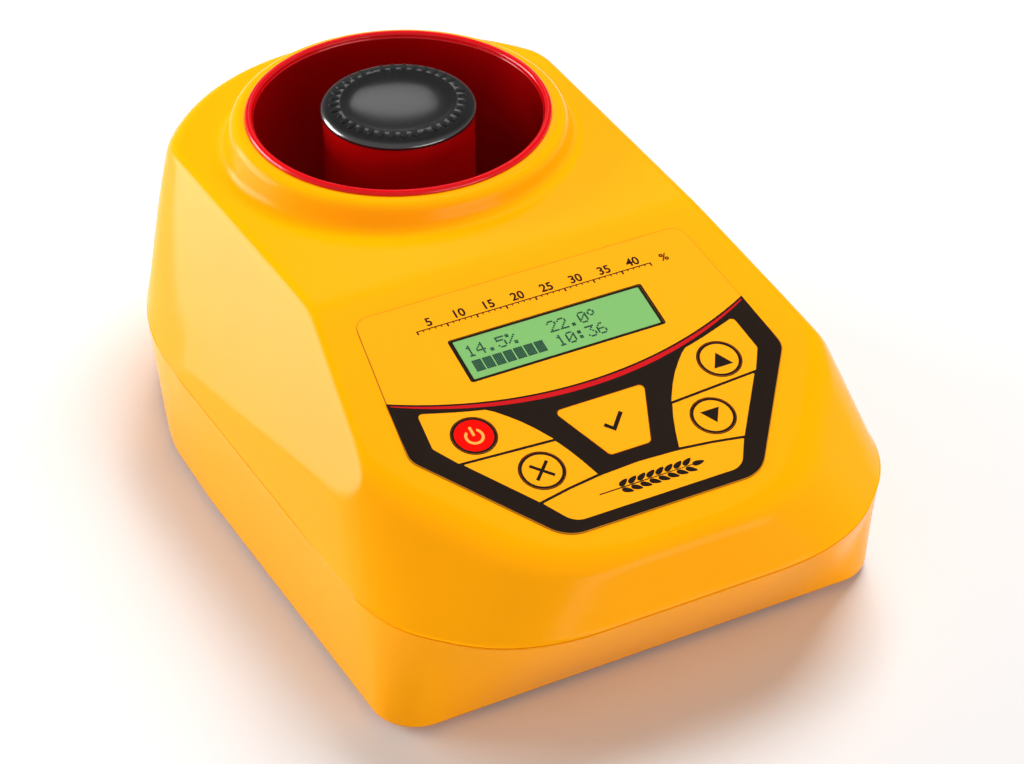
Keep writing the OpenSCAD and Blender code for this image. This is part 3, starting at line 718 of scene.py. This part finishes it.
FIL = 1.3
zs = np.linspace(PART - gap - er, BASE + FIL, 40)
tt = (PART - zs) / (PART - BASE - FIL)
low_r = joint_r[:, None] + (foot_r - joint_r)[:, None] * tt[None]
low_z = np.repeat(zs[None], HALF + 1, 0)
slope = (foot_r - joint_r) / (PART - BASE - FIL)
fil_a = np.radians([15, 30, 45, 60, 75, 90])
fil_r = np.stack([foot_r + (slope * FIL - FIL * 0.95) * (1 - math.cos(a)) for a in fil_a], 1)
fil_z = np.stack([np.full_like(foot_r, BASE + FIL * (1 - math.sin(a))) for a in fil_a], 1)
up_a = np.radians([90, 75, 50, 25])
up_r = np.stack([joint_r - er * (1 - math.cos(a)) for a in up_a], 1)
up_z = np.stack([np.full_like(joint_r, PART - gap - er * (1 - math.sin(a))) for a in up_a], 1)
in_z = np.linspace(BASE + WALL, PART - gap, 14)
ti = (PART - in_z) / (PART - BASE)
in_r = joint_r[:, None] + (foot_r - joint_r)[:, None] * ti[None] - 3.0
in_r[:, 0] -= 1.5
in_zz = np.repeat(in_z[None], HALF + 1, 0)
b_r = np.concatenate([in_r, up_r, low_r, fil_r], 1)
b_z = np.concatenate([in_zz, up_z, low_z, fil_z], 1)
rings = revolve(b_r, b_z)
base = grid_object("bottom_base_shell", rings, M["yellow"], wrap_v=False,
                   caps=[(0, (0, 0, BASE + WALL), True), (rings.shape[1] - 1, (0, 0, BASE), False)])
outward(base)

POSTS = [(66, -82), (-66, -82), (76, 40), (-76, 40), (44, 120), (-44, 120)]
FEET = [(73, -101), (-73, -101), (56, 97), (-56, 97)]
adds = [prism("p", [circle_pts(x, y, 4.4, 40)], BASE + 0.6, PART - 2.0) for x, y in POSTS]
adds.append(box_obj("bay", (-34, -74, BASE + 0.6), (34, -7, 22.4)))
boolean(base, join("adds", adds), "UNION")
boolean(base, box_obj("slide", (-38, -78, BASE + 0.5), (38, 11, 7.6)), "UNION")
pads = []
for sg in (1, -1):
    pads.append(prism("pad", [rpoly([(sg * 58, SY - 57.6), (sg * 84.3, SY - 57.6), (sg * 85.6, SY - 31), (sg * 58, SY - 31)], [3, 16, 3, 3], 10)], 1.0, 3.4))
    arc_pts = [(sg * x, y) for x, y in [(88.1 * math.sin(a), 51.75 + 88.1 * math.cos(a)) for a in np.linspace(math.asin(44 / 88.1), math.asin(80.5 / 88.1), 24)] if y <= 111]
    pads.append(prism("pad", [[(sg * 44, 84), (sg * 44, 111)] + [p for p in arc_pts if p[1] >= 84] + [(sg * 81.98, 84)]], 1.0, 3.4))
boolean(base, join("pads", pads), "UNION")
boolean(base, box_obj("bayin", (-32, -72, -1), (32, -9, 20.4)), "DIFFERENCE")
boolean(base, box_obj("recess", (-34.3, -74.3, -1), (34.3, 5.7, 4.6)), "DIFFERENCE")
cuts = [prism("c", [circle_pts(x, y, 3.3, 40)], -2, 32.4) for x, y in POSTS]
cuts += [prism("c", [circle_pts(x, y, 7.1, 56)], -2, 1.8) for x, y in FEET]
cuts += [box_obj("g", (s * 35 - 1.75, -68, 3.3), (s * 35 + 1.75, 3, 4.7)) for s in (-1, 1)]
boolean(base, join("cuts", cuts), "DIFFERENCE")
smooth_by_angle(base.data, 28)
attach(base, "housing")
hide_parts("bottom_base")

# tongue of the base that closes the joint from inside
tr = joint_r - 3.1
tng_r = np.stack([tr, tr, tr - 1.2, tr - 1.2], 1)
tng_z = np.stack([np.full_like(tr, z) for z in (PART - 3, PART + 2.2, PART + 2.2, PART - 3)], 1)
tongue = grid_object("base_tongue", revolve(tng_r, tng_z), M["yellow"])
outward(tongue)
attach(tongue, "housing")

# ------------------------------------------------------------------ chamber
# painted shade: the cup body is drawn in the darker copy of the red, standing in for the shade deep in the chamber
ch = [(3.2, FLOOR - 2.6), (50, FLOOR - 2.6), (50, 76), (60, 76), (60, 77.8), (50, 77.8), (50, RIM - 1.75)]
ch += [(49.2, RIM - 1.75), (48.75, RIM - 2.1), (48.4, RIM - 4.0), (47.2, FLOOR + 4)]
ch += arc(43.2, FLOOR + 4, 4.0, -12, -88, 7)
ch += [(3.2, FLOOR)]
chamber = lathe("measuring_chamber_body", ch, M["red"], seg=288, angle=40)
# painted light: the lip ring is a separate object in the brighter, lit copy of the same red
lip = [(50, RIM - 1.6), (51.5, RIM - 1.6)]
lip += [(50.4 + 1.3 * math.cos(a), RIM - 1.35 + 1.35 * math.sin(a)) for a in np.radians(np.linspace(0, 172, 18))]
lip += [(48.95, RIM - 1.7), (48.8, RIM - 2.0), (50, RIM - 2.0)]
lip = lathe("measuring_chamber_lip", lip, M["lip_red_lit_copy"], seg=288, angle=40)
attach(lip, "housing")
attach(chamber, "housing")
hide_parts("measuring_chamber")

sl = [(23.9, FLOOR), (28, FLOOR), (28, FLOOR + 1.2), (27.2, FLOOR + 2.0), (26.6, FLOOR + 2.6), (26.1, FLOOR + 3.4), (25.7, FLOOR + 4.4)]
sl += [(25.7, 102.7), (25.6, 103.2), (25.3, 103.4), (23.9, 103.4)]
sleeve = lathe("electrode_sleeve_body", sl, M["sleeve_red"], seg=192, angle=40)
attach(sleeve, "housing")
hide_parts("electrode_sleeve")

# cap with a shallow dish and a ring of raised marks
TOP = 107.1
cp = [(0, 101.9), (23.8, 101.9), (23.8, 103.5), (25.7, 103.5), (26.1, 103.65), (26.35, 103.9), (26.4, 104.3)]
cp += [(26.25, TOP - 2.2), (25.8, TOP - 1.62), (25.1, TOP - 1.1), (24.2, TOP - 0.68), (23.2, TOP - 0.37), (22.2, TOP - 0.16), (21.2, TOP - 0.04),
       (20.4, TOP), (19.8, TOP - 0.04), (19.2, TOP - 0.2), (18.6, TOP - 0.45), (17.6, TOP - 0.8),
       (15.6, TOP - 1.25), (13, TOP - 1.6), (10, TOP - 1.85), (6.5, TOP - 2.02), (3, TOP - 2.1), (0, TOP - 2.12)]
cap = lathe("electrode_cap_disc", cp, M["cap"], seg=192, angle=50)
marks = []
for k in range(36):
    a = 2 * math.pi * k / 36
    c0, s0_ = math.cos(a), math.sin(a)
    if k % 9 == 0:
        outline = [(21.5 + 0.8 * math.cos(b), 0.8 * math.sin(b)) for b in np.linspace(0, 2 * np.pi, 17)[:-1]]
    else:
        outline = grain_outline(21.5, 0.0, 3.6, 2.1)
    pts = [(p[0] * c0 - p[1] * s0_, p[0] * s0_ + p[1] * c0 + CY) for p in outline]
    marks.append(prism("m", [pts], TOP - 0.9, TOP + 0.16, M["cap_mark"]))
    if k % 9:
        core = grain_outline(21.4, 0.0, 2.2, 0.8)
        pts = [(p[0] * c0 - p[1] * s0_, p[0] * s0_ + p[1] * c0 + CY) for p in core]
        marks.append(prism("m", [pts], TOP + 0.1, TOP + 0.35, M["cap_mark"]))
ticks = join("electrode_cap_marks", marks)
bv = ticks.modifiers.new("bevel", "BEVEL")
bv.width = 0.0001
bv.segments = 2
bv.limit_method = "ANGLE"
bv.angle_limit = math.radians(50)
for o in (cap, ticks):
    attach(o, "housing")
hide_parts("electrode_cap")

# ------------------------------------------------------------------ label, artwork, keys
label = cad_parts["keypad_overlay"]
W0, W1 = 0.29, 0.345       # print on the label
K0, K1 = 0.34, 0.395       # print on the key pads


def arc_line(R, cy, x0, x1, n=60):
    """Points (x, s) of a sagging arc from x0 to x1."""
    return [(x, cy - math.sqrt(R * R - x * x)) for x in np.linspace(x0, x1, n)]


def side_x(s):
    """Half-width of the label at height s, upper straight part."""
    (x1, s1), (x2, s2) = LABEL_HALF[1], LABEL_HALF[2]
    return x1 + (x2 - x1) * (s - s1) / (s2 - s1)


# outline of the label, a little inside its edge, cut at the top arc
INS = 0.12
half = [(33.05 - INS * 0.6, -72.65 + INS), (64.44 - INS * 1.15, -29.9)]
low = rpoly([(-side_x(20), 20), (-half[1][0], half[1][1]), (-half[0][0], half[0][1]), (half[0][0], half[0][1]), (half[1][0], half[1][1]), (side_x(20), 20)],
            [0, 7, 12, 12, 7, 0], 12)
R_T, C_T = 146.2, 125.2
xe = 61.95
arc_top = arc_line(R_T, C_T, xe, -xe, 90)
black_outer = arc_top + [p for p in low[1:-1]]
ZONE_UL = [(-54.9, -14.2), (-50.0, -15.75), (-45.0, -17.3), (-40.0, -18.75), (-34.6, -20.1), (-32.3, -21.9), (-29.5, -24.8), (-26.6, -28.1),
           (-23.8, -32.0), (-20.2, -37.85), (-51.2, -36.05), (-56.15, -28.2)]
ZONE_UL_R = [1.4, 8, 8, 8, 1.5, 4, 6, 6, 6, 0.15, 0.4, 2.0]
ZONE_LL = [(-50.2, -36.95), (-20.1, -38.75), (-18.0, -43.2), (-16.0, -48.4), (-13.9, -54.75), (-24.5, -56.1), (-35.0, -57.95)]
ZONE_LL_R = [0.3, 0.15, 10, 12, 0.15, 15, 0.3]


def flip(p):
    return [(-x, y) for x, y in p]


bottom_zone = ([(-34.35, -58.75)] + [(-24.5, -56.95), (-13.0, -55.55), (0, -54.95), (13.0, -55.55), (24.5, -56.95)] + [(34.35, -58.75)]
               + [(28.4, -68.45), (-28.4, -68.45)])
bottom_zone = rpoly(bottom_zone, [0.3, 30, 30, 30, 30, 30, 0.3, 6.5, 6.5], 10)
holes = [rpoly(ZONE_UL, ZONE_UL_R, 6), rpoly(flip(ZONE_UL), ZONE_UL_R, 6), rpoly(ZONE_LL, ZONE_LL_R, 6), rpoly(flip(ZONE_LL), ZONE_LL_R, 6),
         bottom_zone, trap(-0.22)]
black = prism("print_black_band", [black_outer] + holes, W0, W1, M["print"], on_panel=True)
R_A, C_A = 147.0, 125.3
R_B, C_B = 134.7, 111.2
stripe = prism("print_red_stripe", [arc_line(R_A, C_A, -61.2, 61.2, 90) + arc_line(R_B, C_B, 61.2, -61.2, 90)], W0, W1 + 0.02, M["print_red"], on_panel=True)

prints = [black]
# ring on the label round each round key, and the display frame
for nm, (x, s) in KEYS.items():
    prints.append(prism("ring", [circle_pts(x, s, 7.3, 96), circle_pts(x, s, 7.08, 96)], W0, W1, M["print"], on_panel=True))
fr_o = rpoly([(-33.9, -8.9), (33.9, -8.9), (33.9, 8.9), (-33.9, 8.9)], [0.5] * 4, 5)
fr_o = rpoly([(-33.95, -8.95), (33.95, -8.95), (33.95, 8.95), (-33.95, 8.95)], [0.9] * 4, 6)
fr_i = [(-33.38, -8.78), (33.38, -8.78), (33.38, 8.78), (-33.38, 8.78)]
prints.append(prism("frame", [fr_o, fr_i], W0, W1, M["print"], on_panel=True))

# moisture scale in place of the title: long and short marks with numbers
x0t, x1t = -41.0, 41.0
for k in range(0, 41):
    x = x0t + (x1t - x0t) * k / 40
    h = 1.25 if k % 5 == 0 else 0.7
    wd = 0.26 if k % 5 == 0 else 0.16
    prints.append(prism("t", [[(x - wd, 15.6 - h), (x + wd, 15.6 - h), (x + wd, 15.6), (x - wd, 15.6)]], W0, W1, M["print"], on_panel=True))
prints.append(prism("t", [[(x0t - 0.26, 15.5), (x1t + 0.26, 15.5), (x1t + 0.26, 15.85), (x0t - 0.26, 15.85)]], W0, W1, M["print"], on_panel=True))


def text_plate(name, body_, size, x, s, w0, w1, mat, align="CENTER", shear=0.0, thick=0.0):
    """Numerals and signs of the built-in face, as a thin plate on the panel."""
    cu = bpy.data.curves.new(name, "FONT")
    cu.body = body_
    cu.size = size * MM
    cu.align_x = align
    cu.shear = shear
    cu.offset = thick * MM
    cu.extrude = (w1 - w0) / 2 * MM
    cu.resolution_u = 6
    ob = bpy.data.objects.new(name, cu)
    scene.collection.objects.link(ob)
    bpy.context.view_layer.update()
    dg = bpy.context.evaluated_depsgraph_get()
    me = bpy.data.meshes.new_from_object(ob.evaluated_get(dg))
    bpy.data.objects.remove(ob)
    me.transform(Matrix.Translation((x * MM, s * MM, (w0 + w1) / 2 * MM)))
    me.transform(PANEL_M)
    me.materials.clear()
    me.materials.append(mat)
    out = bpy.data.objects.new(name, me)
    scene.collection.objects.link(out)
    for p in me.polygons:
        p.use_smooth = False
    return out


for k, num_ in enumerate((5, 10, 15, 20, 25, 30, 35, 40)):
    x = x0t + (x1t - x0t) * (k + 0.5) / 8
    prints.append(text_plate("n", str(num_), 4.5, x, 16.7, W0, W1, M["print"], thick=0.1))
prints.append(text_plate("n", "%", 4.2, 46.4, 15.0, W0, W1, M["print"], thick=0.07))

# ear of grain in the lower field
ear = []
def grain(cx_, cy_, L, Wd, ang):
    pts = []
    for i in range(28):
        t = 2 * math.pi * i / 28
        u = math.cos(t) * L / 2
        v = math.sin(t) * Wd / 2 * (1 - 0.35 * math.cos(t))
        pts.append((cx_ + u * math.cos(ang) - v * math.sin(ang), cy_ + u * math.sin(ang) + v * math.cos(ang)))
    return pts


for k in range(8):
    xg = -9.5 + 3.1 * k
    for sg in (1, -1):
        ear.append(grain(xg + 1.3, -62.0 + sg * 1.55, 3.7, 1.7, sg * 0.5))
ear.append(grain(16.6, -62.0, 4.0, 1.7, 0))
for g in ear:
    prints.append(prism("g", [g], W0, W1, M["print"], on_panel=True))
prints.append(prism("g", [[(-17.0, -62.2), (14.6, -62.12), (14.6, -61.88), (-17.0, -61.8)]], W0, W1, M["print"], on_panel=True))
art = join("label_print", prints)
art.data.materials.clear()
art.data.materials.append(M["print"])
for o in (art, stripe):
    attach(o, "housing")

# painted shadow: a thin dark band round the film's edge, standing in for the shade in the gap between the film and its
# pocket
def offset_loop(p, d):
    p = np.array(p)
    a, b = np.roll(p, 1, 0), np.roll(p, -1, 0)
    t = b - a
    t /= np.maximum(np.hypot(*t.T), 1e-9)[:, None]
    n = np.stack([t[:, 1], -t[:, 0]], -1)
    area = 0.5 * np.sum(p[:, 0] * np.roll(p[:, 1], -1) - np.roll(p[:, 0], -1) * p[:, 1])
    return [tuple(q) for q in p + n * d * (1 if area > 0 else -1)]


edge = prism("label_edge_shadow", [offset_loop(LABEL, 0.14), offset_loop(LABEL, -0.04)], -0.25, 0.275, M["label_edge_shadow"], on_panel=True)
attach(edge, "housing")

# key artwork rides on its key
for nm, (x, s) in KEYS.items():
    obs = [prism("k", [circle_pts(x, s, 6.9, 96), circle_pts(x, s, 6.1, 96)], K0, K1, M["print"], on_panel=True)]
    if nm == "on_off_key":
        red = prism(nm + "_disc", [circle_pts(x, s, 6.1, 96)], K0, K1 - 0.012, M["key_red"], on_panel=True)
        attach(red, nm)
        ring_o, ring_i = 3.1, 2.2
        pts = [(x + ring_o * math.sin(a), s - 0.35 + ring_o * math.cos(a)) for a in np.linspace(0.62, 2 * math.pi - 0.62, 60)]
        pts += [(x + ring_i * math.sin(a), s - 0.35 + ring_i * math.cos(a)) for a in np.linspace(2 * math.pi - 0.68, 0.68, 60)]
        sym = [prism("y", [pts], K1 - 0.02, K1 + 0.02, M["key_icon"], on_panel=True),
               prism("y", [rpoly([(x - 0.45, s - 0.1), (x + 0.45, s - 0.1), (x + 0.45, s + 3.5), (x - 0.45, s + 3.5)], [0.3] * 4, 4)], K1 - 0.02, K1 + 0.02, M["key_icon"], on_panel=True)]
        sym = join(nm + "_symbol", sym)
        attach(sym, nm)
    elif nm == "cancel_key":
        for sg in (1, -1):
            d, w_ = 2.9, 0.52
            a = np.array([-d, -d * sg])
            b = np.array([d, d * sg])
            t = (b - a) / np.linalg.norm(b - a)
            n = np.array([-t[1], t[0]])
            obs.append(prism("k", [[tuple(np.array([x, s]) + q) for q in (a - n * w_, b - n * w_, b + n * w_, a + n * w_)]], K0, K1 + (0.004 if sg > 0 else 0), M["print"], on_panel=True))
    else:
        up = nm == "up_key"
        apex, basev = (s + 2.7, s - 3.0) if up else (s - 2.8, s + 2.5)
        obs.append(prism("k", [[(x - 3.3, basev), (x + 3.3, basev), (x, apex)]], K0, K1, M["print"], on_panel=True))
    ko = join(nm + "_print", obs)
    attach(ko, nm)
# tick on the OK key
ok_art = prism("ok_key_print", [[(-3.9, -39.0), (-2.9, -38.1), (-1.15, -40.1), (3.2, -35.3), (4.2, -36.2), (-1.1, -42.0)]], K0, K1, M["print"], on_panel=True)
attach(ok_art, "ok_key")

# ------------------------------------------------------------------ display
pl = rpoly([(-33.3, -8.7), (33.3, -8.7), (33.3, 8.7), (-33.3, 8.7)], [0.4] * 4, 4)
lens = prism("display_window_lens", [pl], -1.7, 0.16, M["lcd"], on_panel=True)
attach(lens, "housing")
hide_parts("display_window")
brd = prism("display_border", [rpoly([(-33.28, -8.68), (33.28, -8.68), (33.28, 8.68), (-33.28, 8.68)], [0.4] * 4, 4),
                               rpoly([(-32.55, -7.95), (32.55, -7.95), (32.55, 7.95), (-32.55, 7.95)], [0.4] * 4, 4)], 0.15, 0.2, M["print"], on_panel=True)
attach(brd, "housing")

DOTS = {
    "0": "01110 10001 10011 10101 11001 10001 01110", "1": "00100 01100 00100 00100 00100 00100 01110",
    "2": "01110 10001 00001 00010 00100 01000 11111", "3": "11111 00010 00100 00010 00001 10001 01110",
    "4": "00010 00110 01010 10010 11111 00010 00010", "5": "11111 10000 11110 00001 00001 10001 01110",
    "6": "00110 01000 10000 11110 10001 10001 01110", "7": "11111 00001 00010 00100 01000 01000 01000",
    "8": "01110 10001 10001 01110 10001 10001 01110", "9": "01110 10001 10001 01111 00001 00010 01100",
    ".": "00000 00000 00000 00000 00000 01100 01100", "%": "11000 11001 00010 00100 01000 10011 00011",
    "~": "01100 10010 10010 01100 00000 00000 00000", "#": "11111 11111 11111 11111 11111 11111 11111",
    "-": "00000 00000 00000 11111 00000 00000 00000", "|": "10000 10000 10000 10000 10000 10000 10000",
    ":": "00000 01100 01100 00000 01100 01100 00000", "_": "00000 00000 00000 00000 00000 00000 11111", " ": "00000 " * 7,
}
dv, df = [], []
for row, (txt, s_top) in enumerate((("14.5%   22.0~", 5.15), ("####### 10:36", -0.95))):
    for ci, chx in enumerate(txt):
        rows = DOTS[chx].split()
        for j, bits in enumerate(rows):
            for i, b in enumerate(bits):
                if b != "1":
                    continue
                x = -30.3 + ci * 3.55 + i * 0.62
                s = s_top - j * 0.66
                k = len(dv)
                for (px, ps, pw) in ((0, 0, 0.14), (0.54, 0, 0.14), (0.54, -0.58, 0.14), (0, -0.58, 0.14), (0, 0, 0.19), (0.54, 0, 0.19), (0.54, -0.58, 0.19), (0, -0.58, 0.19)):
                    dv.append(np.array(panel(x + px, s + ps, pw)) * MM)
                df += [(k, k + 1, k + 2, k + 3), (k + 4, k + 7, k + 6, k + 5), (k, k + 4, k + 5, k + 1), (k + 1, k + 5, k + 6, k + 2), (k + 2, k + 6, k + 7, k + 3), (k + 3, k + 7, k + 4, k)]
dots = new_object("display_dots", dv, df, M["lcd_dot"], smooth=False)
outward(dots)
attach(dots, "housing")

# ------------------------------------------------------------------ rubber feet, battery cover
ft = []
for (x, y) in FEET:
    ft.append(lathe("f", [(0, 0.35), (3.6, 0.35), (4.0, 0.05), (4.4, 0.0), (6.2, 0.0), (6.7, 0.15), (7.0, 0.55), (7.0, 1.75), (0, 1.75)], M["rubber"], seg=72, centre=(x, y), angle=50))
feet = join("rubber_feet_moulded", ft)
smooth_by_angle(feet.data, 50)
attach(feet, "housing")
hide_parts("rubber_feet")

bc = prism("battery_door", [rpoly([(-34, -74), (34, -74), (34, -7), (-34, -7)], [2.0] * 4, 8)], 2.4, 4.4, M["yellow"])
bvd = bc.modifiers.new("bevel", "BEVEL")
bvd.width = 0.0004
bvd.segments = 3
bvd.limit_method = "ANGLE"
bvd.angle_limit = math.radians(60)
bpy.context.view_layer.update()
dg = bpy.context.evaluated_depsgraph_get()
me_b = bpy.data.meshes.new_from_object(bc.evaluated_get(dg))
bc.modifiers.clear()
bc.data = me_b
ribs = [box_obj("r", (-11, -72 + 8 + 2.6 * k, 1.9), (11, -72 + 9.1 + 2.6 * k, 3.5)) for k in range(5)]
boolean(bc, join("ribs", ribs), "DIFFERENCE")
ton = [box_obj("t", (s * 35 - 1.45, y, 3.4), (s * 35 + 1.45, y + 12, 4.4)) for s in (-1, 1) for y in (-67, -26)]
ton.append(box_obj("t", (-14, -69, 4.3), (14, -67.4, 4.8)))
boolean(bc, join("tabs", ton), "UNION")
arrow = prism("a", [[(-4, -48), (4, -48), (0, -42.5)]], 1.9, 2.75)
boolean(bc, arrow, "DIFFERENCE")
smooth_by_angle(bc.data, 30)
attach(bc, "battery_cover")
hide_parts("battery_cover")

# ------------------------------------------------------------------ CAD nodes that stay as they are
KEEP = {
    "keypad_overlay": "label", "on_off_key": "label", "cancel_key": "label", "ok_key": "label", "up_key": "label", "down_key": "label",
    "centre_electrode": "bright", "electrode_tie_bolt": "steel", "outer_electrode_band": "bright", "temperature_probe": "steel",
    "chamber_screws": "steel", "key_domes": "bright", "keypad_board": "board", "keypad_screws": "steel", "display_glass": "lcd",
    "display_bezel": "bezel", "display_board": "board", "display_screws": "steel", "ribbon_cable": "ribbon", "main_board": "board",
    "board_components": "chip", "main_board_screws": "steel", "buzzer": "chip", "sensor_lead": "lead", "battery_contacts": "bright",
    "battery_cells": "cell", "housing_screws": "steel",
}
for nm, key in KEEP.items():
    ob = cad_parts[nm]
    ob.data.materials.clear()
    ob.data.materials.append(M[key])

# ------------------------------------------------------------------ floor and light
fm = material("floor_pale", (0.74, 0.74, 0.74, 1), rough=0.5, rough_var=0.05, tint=0.01, tint_scale=2, grain=300, grain_depth=0.00001, spec=0.25)
fl_ = new_object("floor", np.array([(-6, -6, 0), (6, -6, 0), (6, 6, 0), (-6, 6, 0)], float), [(0, 1, 2, 3)], fm, smooth=False)

world = bpy.data.worlds.new("studio")
scene.world = world
world.use_nodes = True
wt = world.node_tree
bg = wt.nodes["Background"]
bg.inputs["Color"].default_value = (1, 1, 1, 1)
w_tc = wt.nodes.new("ShaderNodeTexCoord")
w_dot = wt.nodes.new("ShaderNodeVectorMath")
w_dot.operation = "DOT_PRODUCT"
w_dot.inputs[1].default_value = (0.383, 0.583, 0.716)
wt.links.new(w_tc.outputs["Generated"], w_dot.inputs[0])
w_mr = wt.nodes.new("ShaderNodeMapRange")
w_mr.interpolation_type = "SMOOTHSTEP"
w_mr.inputs["From Min"].default_value = 0.25
w_mr.inputs["From Max"].default_value = 0.85
w_mr.inputs["To Min"].default_value = 0.56
w_mr.inputs["To Max"].default_value = 0.1
wt.links.new(w_dot.outputs["Value"], w_mr.inputs["Value"])
wt.links.new(w_mr.outputs["Result"], bg.inputs["Strength"])


def area(name, loc, target, size, size_y, power, colour=(1, 1, 1)):
    ld = bpy.data.lights.new(name, "AREA")
    ld.shape = "RECTANGLE"
    ld.size, ld.size_y = size, size_y
    ld.energy = power
    ld.color = colour
    ob = bpy.data.objects.new(name, ld)
    scene.collection.objects.link(ob)
    ob.location = loc
    d = Vector(target) - Vector(loc)
    ob.rotation_mode = "QUATERNION"
    ob.rotation_quaternion = d.to_track_quat("-Z", "Y")
    return ob


key = area("key_top", (0.56, 0.42, 1.37), (0, 0, 0.05), 0.9, 0.9, 26)
key.visible_glossy = False
area("left_back", (-1.2, 1.07, 0.40), (0, 0.0, 0.40), 1.1, 0.8, 31)
area("front_low", (0.45, -1.5, 0.3), (0, 0, 0.05), 1.2, 0.5, 9.5)
area("cap_glow", (0.58, 1.2, 1.02), (0, 0.06, 0.105), 0.42, 0.42, 0.55)
